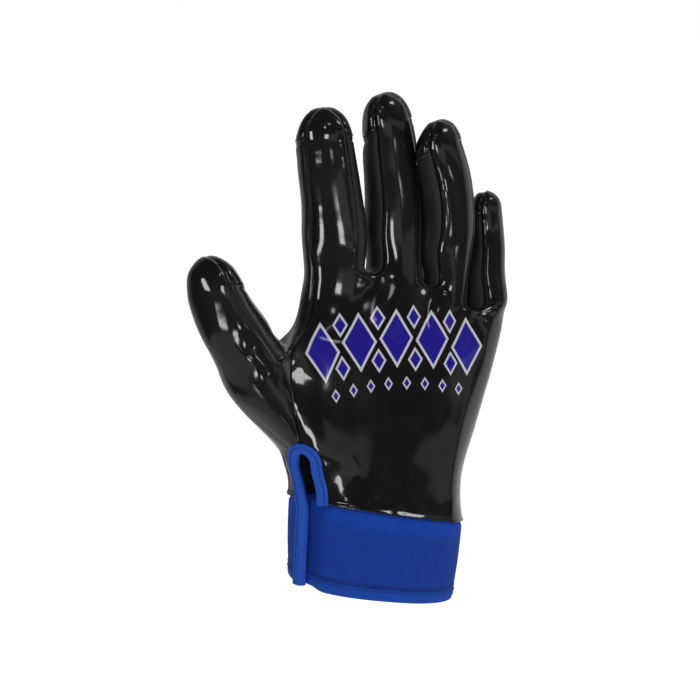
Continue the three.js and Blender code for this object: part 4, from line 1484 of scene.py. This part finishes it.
def print_shares(shade):
    """How far the print's outline and its fill cover the palm, each from 0 to 1."""
    x, y, z = shade.position()
    line = None
    fill = None
    for row in PRINT_ROWS:
        slant = math.hypot(1 / row["half_width"], 1 / row["half_height"])
        for place in row["places"]:
            height = PRINT_ARC_TOP - row["drop"] - PRINT_ARC_BEND * (place - PRINT_ARC_CENTRE) ** 2
            reach = abs(x - place) / row["half_width"] + abs(z - height) / row["half_height"]
            inside = (1 - reach) / slant
            outer = inside.rise(-PRINT_EDGE, PRINT_EDGE)
            inner = inside.rise(row["line"] - PRINT_EDGE, row["line"] + PRINT_EDGE)
            line = outer if line is None else line.most(outer)
            fill = inner if fill is None else fill.most(inner)
    # The palm's side of the glove, where y is less than 0
    front = (y * -1).rise(0, 1)
    return line * front, fill * front


# Silicone: sizes of its smears, orange peel and grain, and depth of the relief
SMEAR_SIZE = 14
SMEAR_TONE = 1.5
SMEAR_ROUGHNESS = 0.06
PEEL_SIZE = 2.4
PEEL_SHARE = 0.8
GRAIN_SIZE = 0.35
PEEL_DEPTH = 0.009
GLOSS_ROUGHNESS = 0.07
GLOSS_IOR = 1.46


def silicone_finish(name, with_print):
    """Glossy black silicone over stretch cloth, with faint smears and a fine orange-peel surface."""
    finish = bpy.context.scene.glove_finish
    shade = Shade(name)
    smear = shade.noise(SMEAR_SIZE, 3)
    colour = shade.tones(smear.rise(0.35, 0.75), finish.silicone, 1, SMEAR_TONE)
    if with_print:
        line, fill = print_shares(shade)
        colour = shade.colours(line, colour, tuple(finish.print_line))
        colour = shade.colours(fill, colour, tuple(finish.print_fill))
    peel = shade.noise(PEEL_SIZE, 1)
    grain = shade.noise(GRAIN_SIZE, 1)
    shade.surface(
        base_color=colour,
        roughness=GLOSS_ROUGHNESS + smear.rise(0.3, 0.8) * SMEAR_ROUGHNESS,
        ior=GLOSS_IOR,
        normal=shade.bump(peel * PEEL_SHARE + grain * (1 - PEEL_SHARE), PEEL_DEPTH),
    )
    return shade.material


# Knit: share of the loops in its relief, size of its mottling, and its sheen
LOOP_SHARE = 0.6
KNIT_MOTTLE_SIZE = 9
KNIT_MOTTLE_ROUGHNESS = 0.12
KNIT_SHEEN = 0.2
KNIT_SHEEN_ROUGHNESS = 0.45
LINING_TONE = 1.1


def knit_relief(across, up, wale, course):
    """Height of a fine knit from 0 to 1: columns of small V shaped loops."""
    column = (across / wale).fraction() - 0.5
    slanted = (up / course + abs(column)).fraction() - 0.5
    loop = 1 - abs(slanted) * 2
    groove = 1 - abs(column) * 2
    return loop * LOOP_SHARE + groove * (1 - LOOP_SHARE)


def knit_finish(name, colour, wale, course, depth, rough):
    """Matte fine knit, by the width and height of its loops, with painted shade that darkens its colour in
    the grooves between the loops.
    """
    shade = Shade(name)
    x, _, z = shade.position()
    relief = knit_relief(x, z, wale, course)
    mottle = shade.noise(KNIT_MOTTLE_SIZE, 3)
    # Colour follows the knit's relief: painted shade in the grooves between the loops, mixed with random
    # mottling
    mottle_and_painted_shading = relief * 0.5 + mottle * 0.5
    shade.surface(
        base_color=shade.tones(mottle_and_painted_shading.rise(0.15, 0.85), colour, 0.5, 1.5),
        roughness=rough + mottle * KNIT_MOTTLE_ROUGHNESS,
        sheen_weight=KNIT_SHEEN,
        sheen_roughness=KNIT_SHEEN_ROUGHNESS,
        normal=shade.bump(relief, depth),
    )
    return shade.material


@lru_cache(maxsize=1)
def lining_finish():
    """Plain matte inside of the cloth."""
    colour = scaled(linear(20, 20, 21), LINING_TONE)
    return knit_finish("lining", colour, wale=0.8, course=0.8, depth=0.08, rough=0.85)


# Strips between the fingers: their mottling, which is drawn out along them, and their grain
STRIP_MOTTLE_SIZE = 6
STRIP_MOTTLE_STRETCH = (1, 1, 0.35)
STRIP_GRAIN_SIZE = 0.5
STRIP_GRAIN_SHARE = 0.6
STRIP_GRAIN_ROUGHNESS = 0.1
SHINY_STRIP_TONE = 0.6


def strip_finish(name, colour, rough, depth):
    """Smooth satin stretch cloth of the strips between the fingers."""
    shade = Shade(name)
    mottle = shade.noise(STRIP_MOTTLE_SIZE, 3, STRIP_MOTTLE_STRETCH)
    grain = shade.noise(STRIP_GRAIN_SIZE)
    shade.surface(
        base_color=shade.tones(mottle.rise(0.3, 0.7), colour, 0.75, 1.2),
        roughness=rough + grain * STRIP_GRAIN_ROUGHNESS,
        normal=shade.bump(grain * STRIP_GRAIN_SHARE + mottle * (1 - STRIP_GRAIN_SHARE), depth),
    )
    return shade.material


# Bird's-eye knit: size of a dot, the dots' share of the relief, and how rough the cloth is
BIRDSEYE_WIDTH = 1.25
BIRDSEYE_HEIGHT = 1.3
BIRDSEYE_DOT_SHARE = 0.75
BIRDSEYE_ROUGHNESS = 0.82
# Painted light: how much lighter the knit is made towards its upper edge
BIRDSEYE_PAINTED_LIGHT = 0.4
FUZZ_SIZE = 0.3
FUZZ_ROUGHNESS = 0.12
CUFF_MOTTLE_SIZE = 6
CLOTH_SPECULAR = 0.25


def ribs(place, pitch):
    """Waves from -1 to 1 along a place in millimetres."""
    return (place * (2 * math.pi / pitch)).sine()


def cuff_finish(name, colour, depth, light_from, light_to):
    """Bird's-eye knit of the wrist band: staggered dots in upright columns, with painted shade that darkens
    the colour between the dots, and painted light that makes it lighter towards its upper edge.
    """
    shade = Shade(name)
    along, up = shade.cloth_map()
    across = ribs(along, BIRDSEYE_WIDTH)
    dots = across * ribs(up, BIRDSEYE_HEIGHT) * 0.5 + 0.5
    relief = dots * BIRDSEYE_DOT_SHARE + abs(across) * (1 - BIRDSEYE_DOT_SHARE)
    mottle = shade.noise(CUFF_MOTTLE_SIZE, 3)
    fuzz = shade.noise(FUZZ_SIZE)
    # Colour follows the relief, with painted shade between the dots, random mottling and fuzz, and painted
    # light over the upper part of the profile
    mottle_and_painted_shading = relief * 0.5 + mottle * 0.25 + fuzz * 0.1 + up.rise(light_from, light_to) * BIRDSEYE_PAINTED_LIGHT
    shade.surface(
        base_color=shade.tones(mottle_and_painted_shading.rise(0.2, 1), colour, 0.6, 1.62),
        roughness=BIRDSEYE_ROUGHNESS + fuzz * FUZZ_ROUGHNESS,
        specular_ior_level=CLOTH_SPECULAR,
        normal=shade.bump(relief + fuzz * 0.3, depth),
    )
    return shade.material


# Woven tape: pitch of its ribs and of the weave round it, and how rough it is
TAPE_RIB_PITCH = 0.95
TAPE_WEAVE_PITCH = 0.5
TAPE_RIB_SHARE = 0.7
TAPE_WEAVE_SHARE = 0.15
TAPE_FUZZ_SHARE = 0.15
TAPE_DEPTH = 0.16
TAPE_ROUGHNESS = 0.78
TAPE_FUZZ_ROUGHNESS = 0.15


def tape_finish(name, colour):
    """Woven tape with fine ribs across it, and painted shade that darkens its colour in the grooves between
    the ribs.
    """
    shade = Shade(name)
    along, round_it = shade.cloth_map()
    rib = ribs(along, TAPE_RIB_PITCH) * 0.5 + 0.5
    weave = ribs(round_it, TAPE_WEAVE_PITCH) * 0.5 + 0.5
    fuzz = shade.noise(FUZZ_SIZE)
    relief = rib * TAPE_RIB_SHARE + weave * TAPE_WEAVE_SHARE + fuzz * TAPE_FUZZ_SHARE
    shade.surface(
        # The colour follows the relief: painted shade in the grooves between the ribs and the weave
        base_color=shade.tones(relief.rise(0.1, 0.9), colour, 0.72, 1.2),
        roughness=TAPE_ROUGHNESS + fuzz * TAPE_FUZZ_ROUGHNESS,
        specular_ior_level=CLOTH_SPECULAR,
        normal=shade.bump(relief, TAPE_DEPTH),
    )
    return shade.material


# Sewing thread: size of its twist, which is drawn out across it, and its relief
TWIST_SIZE = 0.25
TWIST_STRETCH = (1, 1, 3)
TWIST_DEPTH = 0.05
TWIST_ROUGHNESS = 0.1
BLUE_THREAD_TONE = 0.25


def thread_finish(name, colour, rough):
    """Twisted sewing thread."""
    shade = Shade(name)
    twist = shade.noise(TWIST_SIZE, 1, TWIST_STRETCH)
    shade.surface(
        base_color=shade.tones(twist, colour, 0.7, 1.3),
        roughness=rough + twist * TWIST_ROUGHNESS,
        normal=shade.bump(twist, TWIST_DEPTH),
    )
    return shade.material


# Studio floor: two greys of its specks, and the light that it gives off
FLOOR_SPECK_SIZE = 30
FLOOR_GREYS = (0.83, 0.87)
FLOOR_ROUGHNESS = 0.6
FLOOR_GLOW = 0.35


def floor_finish(name):
    """Pale matte studio floor."""
    shade = Shade(name)
    speck = shade.noise(FLOOR_SPECK_SIZE, 3)
    shade.surface(
        base_color=shade.tones(speck, (1, 1, 1), *FLOOR_GREYS),
        roughness=FLOOR_ROUGHNESS + speck * 0.1,
        emission_color=(1, 1, 1),
        emission_strength=FLOOR_GLOW,
    )
    return shade.material


# Lamps whose reflections are the highlights, as seen from the glove: azimuth grows from the front of the palm
# to the little finger side, width and height are the angles that they fill, all in degrees
LAMP_DISTANCE = 6.0
LAMP_COLUMNS = ("name", "azimuth", "elevation", "width", "height", "brightness")
LAMPS = table(LAMP_COLUMNS, (
    ("left_box", -45.5, -15, 9, 22, 15),
    ("front_box", -5, -16.9, 9, 10.6, 14),
    ("high_box", 38, 26, 13, 11, 12),
    ("thumb_box", -3.4, -47.5, 6.6, 4, 15),
    ("thumb_side_box", -29, -43.3, 13, 3.4, 15),
    ("right_box", 34, -24.8, 6, 1.6, 10),
    ("low_box", 8.5, -38.6, 4.5, 3, 15),
    ("left_star", -9.5, 7, 3.5, 4, 15),
    ("print_box", 1, 16.5, 6, 5, 6),
))

# Soft light over everything, which the gloss doesn't mirror
SKY_AZIMUTH = -32
SKY_ELEVATION = 48
SKY_SPREAD = 100
SKY_STRENGTH = 1.8

FLOOR_SIDE = 160.0
CAMERA_SENSOR = 36
CAMERA_REACH = 50

# What the gloss mirrors beyond the lamps: a dim brightness all round and brighter areas, each with its range
# of azimuth and elevation and the half width of its soft edge in degrees, and the brightness that it adds
ROOM_BRIGHTNESS = 0.065
ROOM_COLUMNS = ("azimuth_low", "azimuth_high", "elevation_low", "elevation_high", "soft", "brightness")
ROOM_AREAS = table(ROOM_COLUMNS, (
    (76, 190, -42, 70, 7, 0.95),
    (-190, -118, -60, 70, 16, 0.45),
    (-190, 190, -95, -49, 1, 0.55),
    (-190, 190, -95, -64, 4, 0.35),
    (32, 76, 13, 55, 14, 0.4),
    (-8, 25, -27, -12, 2, 0.52),
    (17, 66, -12, -3.6, 1.5, 0.42),
    (-62, 62, -44, -18, 10, 0.1),
))


def way_to(azimuth, elevation):
    """Way from the glove to a place round it: azimuth 0 is in front of the palm, and grows to the right."""
    level = math.cos(elevation)
    return Vector((math.sin(azimuth) * level, -math.cos(azimuth) * level, math.sin(elevation)))


def aim(obj, place, target):
    """Puts a lamp or the camera at a place and turns it to a target."""
    obj.location = place
    obj.rotation_euler = (place - target).to_track_quat("Z", "Y").to_euler()


def add_lamp(target, lamp):
    light = bpy.data.lights.new(lamp["name"], "AREA")
    light.shape = "RECTANGLE"
    light.size = 2 * LAMP_DISTANCE * math.tan(math.radians(lamp["width"] / 2))
    light.size_y = 2 * LAMP_DISTANCE * math.tan(math.radians(lamp["height"] / 2))
    light.energy = lamp["brightness"] * math.pi * light.size * light.size_y
    holder = bpy.data.objects.new(lamp["name"], light)
    bpy.context.scene.collection.objects.link(holder)
    way = way_to(math.radians(lamp["azimuth"]), math.radians(lamp["elevation"]))
    aim(holder, target + way * LAMP_DISTANCE, target)


def add_sky(target):
    light = bpy.data.lights.new("soft_sky", "SUN")
    light.angle = math.radians(SKY_SPREAD)
    light.energy = SKY_STRENGTH
    holder = bpy.data.objects.new("soft_sky", light)
    holder.visible_glossy = False
    bpy.context.scene.collection.objects.link(holder)
    aim(holder, target + way_to(math.radians(SKY_AZIMUTH), math.radians(SKY_ELEVATION)), target)


def add_room():
    """White to the eye; the gloss mirrors a dim room with the brighter areas listed above."""
    world = bpy.data.worlds.new("studio_room")
    world.use_nodes = True
    bpy.context.scene.world = world
    nodes = Nodes(world.node_tree)
    direction = nodes.node("ShaderNodeTexCoord", {}, {}, "Generated")
    x, y, z = [nodes.node("ShaderNodeSeparateXYZ", {}, {"Vector": direction}, k) for k in range(3)]
    azimuth = nodes.node("ShaderNodeMath", {"operation": "ARCTAN2"}, {0: x, 1: y * -1}) * math.degrees(1)
    elevation = nodes.node("ShaderNodeMath", {"operation": "ARCSINE"}, {0: z}) * math.degrees(1)
    brightness = ROOM_BRIGHTNESS
    for area in ROOM_AREAS:
        soft = area["soft"]
        share = area["brightness"]
        for angle, low, high in ((azimuth, "azimuth_low", "azimuth_high"),
                                 (elevation, "elevation_low", "elevation_high")):
            share = share * angle.rise(area[low] - soft, area[low] + soft)
            share = share * (1 - angle.rise(area[high] - soft, area[high] + soft))
        brightness = brightness + share
    seen = nodes.node("ShaderNodeLightPath", {}, {}, "Is Camera Ray")
    strength = brightness * (1 - seen) + seen
    background = world.node_tree.nodes["Background"]
    background.inputs["Color"].default_value = (1, 1, 1, 1)
    nodes.feed(background.inputs["Strength"], strength)


# Operators
class GLOVE_OT_front_panels(bpy.types.Operator):
    """Palm and thumb panels in glossy silicone, the palm with its print"""

    bl_idname = "glove.front_panels"
    bl_label = "Front panels"

    def execute(self, context):
        add_panel("palm_panel", silicone_finish("silicone_palm", True))
        add_panel("thumb_panel", silicone_finish("silicone_thumb", False))
        return {"FINISHED"}


class GLOVE_OT_back_panel(bpy.types.Operator):
    """Back of the hand in matte knit"""

    bl_idname = "glove.back_panel"
    bl_label = "Back panel"

    def execute(self, context):
        knit = knit_finish(
            "back_knit", context.scene.glove_finish.knit, wale=1.2, course=1.0, depth=0.24, rough=0.66)
        add_panel("back_panel", knit)
        return {"FINISHED"}


class GLOVE_OT_finger_strips(bpy.types.Operator):
    """Strips between the fingers"""

    bl_idname = "glove.finger_strips"
    bl_label = "Finger strips"

    def execute(self, context):
        colour = context.scene.glove_finish.strip
        satin = strip_finish("strip_satin", colour, rough=0.42, depth=0.05)
        shiny = strip_finish("strip_shiny", scaled(colour, SHINY_STRIP_TONE), rough=0.2, depth=0.04)
        for name in STRIPS:
            add_panel(name, shiny if name == STRIPS[0] else satin)
        return {"FINISHED"}


class GLOVE_OT_tip_caps(bpy.types.Operator):
    """Glossy caps that wrap each tip's sides and back"""

    bl_idname = "glove.tip_caps"
    bl_label = "Tip caps"

    def execute(self, context):
        silicone = silicone_finish("silicone_caps", False)
        for name in CAPS:
            add_panel(name, silicone)
        return {"FINISHED"}


class GLOVE_OT_wrist_band(bpy.types.Operator):
    """Knit band whose far end lies under its near end, and its folded hem"""

    bl_idname = "glove.wrist_band"
    bl_label = "Wrist band"

    def execute(self, context):
        cloth = context.scene.glove_cloth
        finish = context.scene.glove_finish
        hem_share = HEM_HEIGHT / BAND_HEIGHT
        band = band_loops(band_profile(hem_share, cloth.band_wall / MM), BAND_INSET)
        # Each knit is painted lighter over the given range up its profile: painted light
        band_knit = cuff_finish("band_birdseye", finish.band, depth=0.3, light_from=20, light_to=30)
        swept_piece("cuff_band_knit", band, [band_knit], ["cuff_band"])
        hem = band_loops(hem_profile(hem_share, cloth.hem_wall / MM), BAND_INSET - HEM_RAISE)
        hem_knit = cuff_finish("hem_birdseye", finish.hem, depth=0.16, light_from=30, light_to=40)
        swept_piece("cuff_hem_knit", hem, [hem_knit], ["cuff_hem"])
        return {"FINISHED"}


class GLOVE_OT_slit_binding(bpy.types.Operator):
    """Folded tape round the slit and down the edge of the band"""

    bl_idname = "glove.slit_binding"
    bl_label = "Slit binding"

    def execute(self, context):
        loops = tape_loops(*tape_line())
        tape = tape_finish("binding_tape", context.scene.glove_finish.tape)
        swept_piece("slit_binding_tape", loops, [tape], ["slit_binding"])
        return {"FINISHED"}


class GLOVE_OT_stitches(bpy.types.Operator):
    """Stitches along the seams, the hem and the tape"""

    bl_idname = "glove.stitches"
    bl_label = "Stitches"

    def execute(self, context):
        cloth = context.scene.glove_cloth
        length = cloth.stitch_length / MM
        gap = cloth.stitch_gap / MM
        black = thread_finish("black_thread", linear(33, 33, 34), rough=0.25)
        blue_colour = scaled(context.scene.glove_finish.tape, BLUE_THREAD_TONE)
        blue = thread_finish("blue_thread", blue_colour, rough=0.6)
        seam_thread(length, gap).piece("seam_stitches", black, "strip_knit")
        band_thread(length, gap).piece("band_stitches", blue, "binding_tape")
        return {"FINISHED"}


class GLOVE_OT_stage(bpy.types.Operator):
    """Pale floor, soft studio lamps, surroundings and the camera"""

    bl_idname = "glove.stage"
    bl_label = "Stage"

    def execute(self, context):
        scene = context.scene
        stage = scene.glove_stage
        target = Vector(stage.target)
        floor_mesh = bpy.data.meshes.new("studio_floor")
        side = FLOOR_SIDE / 2
        floor_mesh.from_pydata(
            [(-side, -side, 0), (side, -side, 0), (side, side, 0), (-side, side, 0)], [], [(0, 1, 2, 3)])
        floor_mesh.materials.append(floor_finish("pale_floor"))
        floor = bpy.data.objects.new("studio_floor", floor_mesh)
        floor.location = (0, 0, -stage.floor_drop)
        floor.visible_glossy = False
        scene.collection.objects.link(floor)
        for lamp in LAMPS:
            add_lamp(target, lamp)
        add_sky(target)
        add_room()
        camera_data = bpy.data.cameras.new("photo_camera")
        camera_data.sensor_width = CAMERA_SENSOR
        camera_data.lens = CAMERA_SENSOR * stage.distance / stage.view_width
        camera_data.clip_end = CAMERA_REACH
        camera = bpy.data.objects.new("photo_camera", camera_data)
        scene.collection.objects.link(camera)
        aim(camera, target + way_to(-stage.azimuth, stage.elevation) * stage.distance, target)
        scene.camera = camera
        scene.view_settings.view_transform = "Standard"
        return {"FINISHED"}


OPERATORS = (
    GLOVE_OT_front_panels,
    GLOVE_OT_back_panel,
    GLOVE_OT_finger_strips,
    GLOVE_OT_tip_caps,
    GLOVE_OT_wrist_band,
    GLOVE_OT_slit_binding,
    GLOVE_OT_stitches,
    GLOVE_OT_stage,
)
SETTINGS = (("glove_cloth", GloveCloth), ("glove_finish", GloveFinish), ("glove_stage", GloveStage))


class GLOVE_PT_panel(bpy.types.Panel):
    """Sizes, colours and building steps of the glove"""

    bl_label = "Athletic Glove"
    bl_space_type = "VIEW_3D"
    bl_region_type = "UI"
    bl_category = "Glove"

    def draw(self, context):
        layout = self.layout
        for key, group in SETTINGS:
            box = layout.box()
            for name in group.__annotations__:
                box.prop(getattr(context.scene, key), name)
        for operator in OPERATORS:
            layout.operator(operator.bl_idname)


def register():
    for key, group in SETTINGS:
        bpy.utils.register_class(group)
        setattr(bpy.types.Scene, key, bpy.props.PointerProperty(type=group))
    for operator in OPERATORS:
        bpy.utils.register_class(operator)
    bpy.utils.register_class(GLOVE_PT_panel)


def unregister():
    bpy.utils.unregister_class(GLOVE_PT_panel)
    for operator in reversed(OPERATORS):
        bpy.utils.unregister_class(operator)
    for key, group in reversed(SETTINGS):
        delattr(bpy.types.Scene, key)
        bpy.utils.unregister_class(group)


def main():
    register()
    bpy.ops.glove.front_panels()
    bpy.ops.glove.back_panel()
    bpy.ops.glove.finger_strips()
    bpy.ops.glove.tip_caps()
    bpy.ops.glove.wrist_band()
    bpy.ops.glove.slit_binding()
    bpy.ops.glove.stitches()
    bpy.ops.glove.stage()


if __name__ == "__main__":
    main()
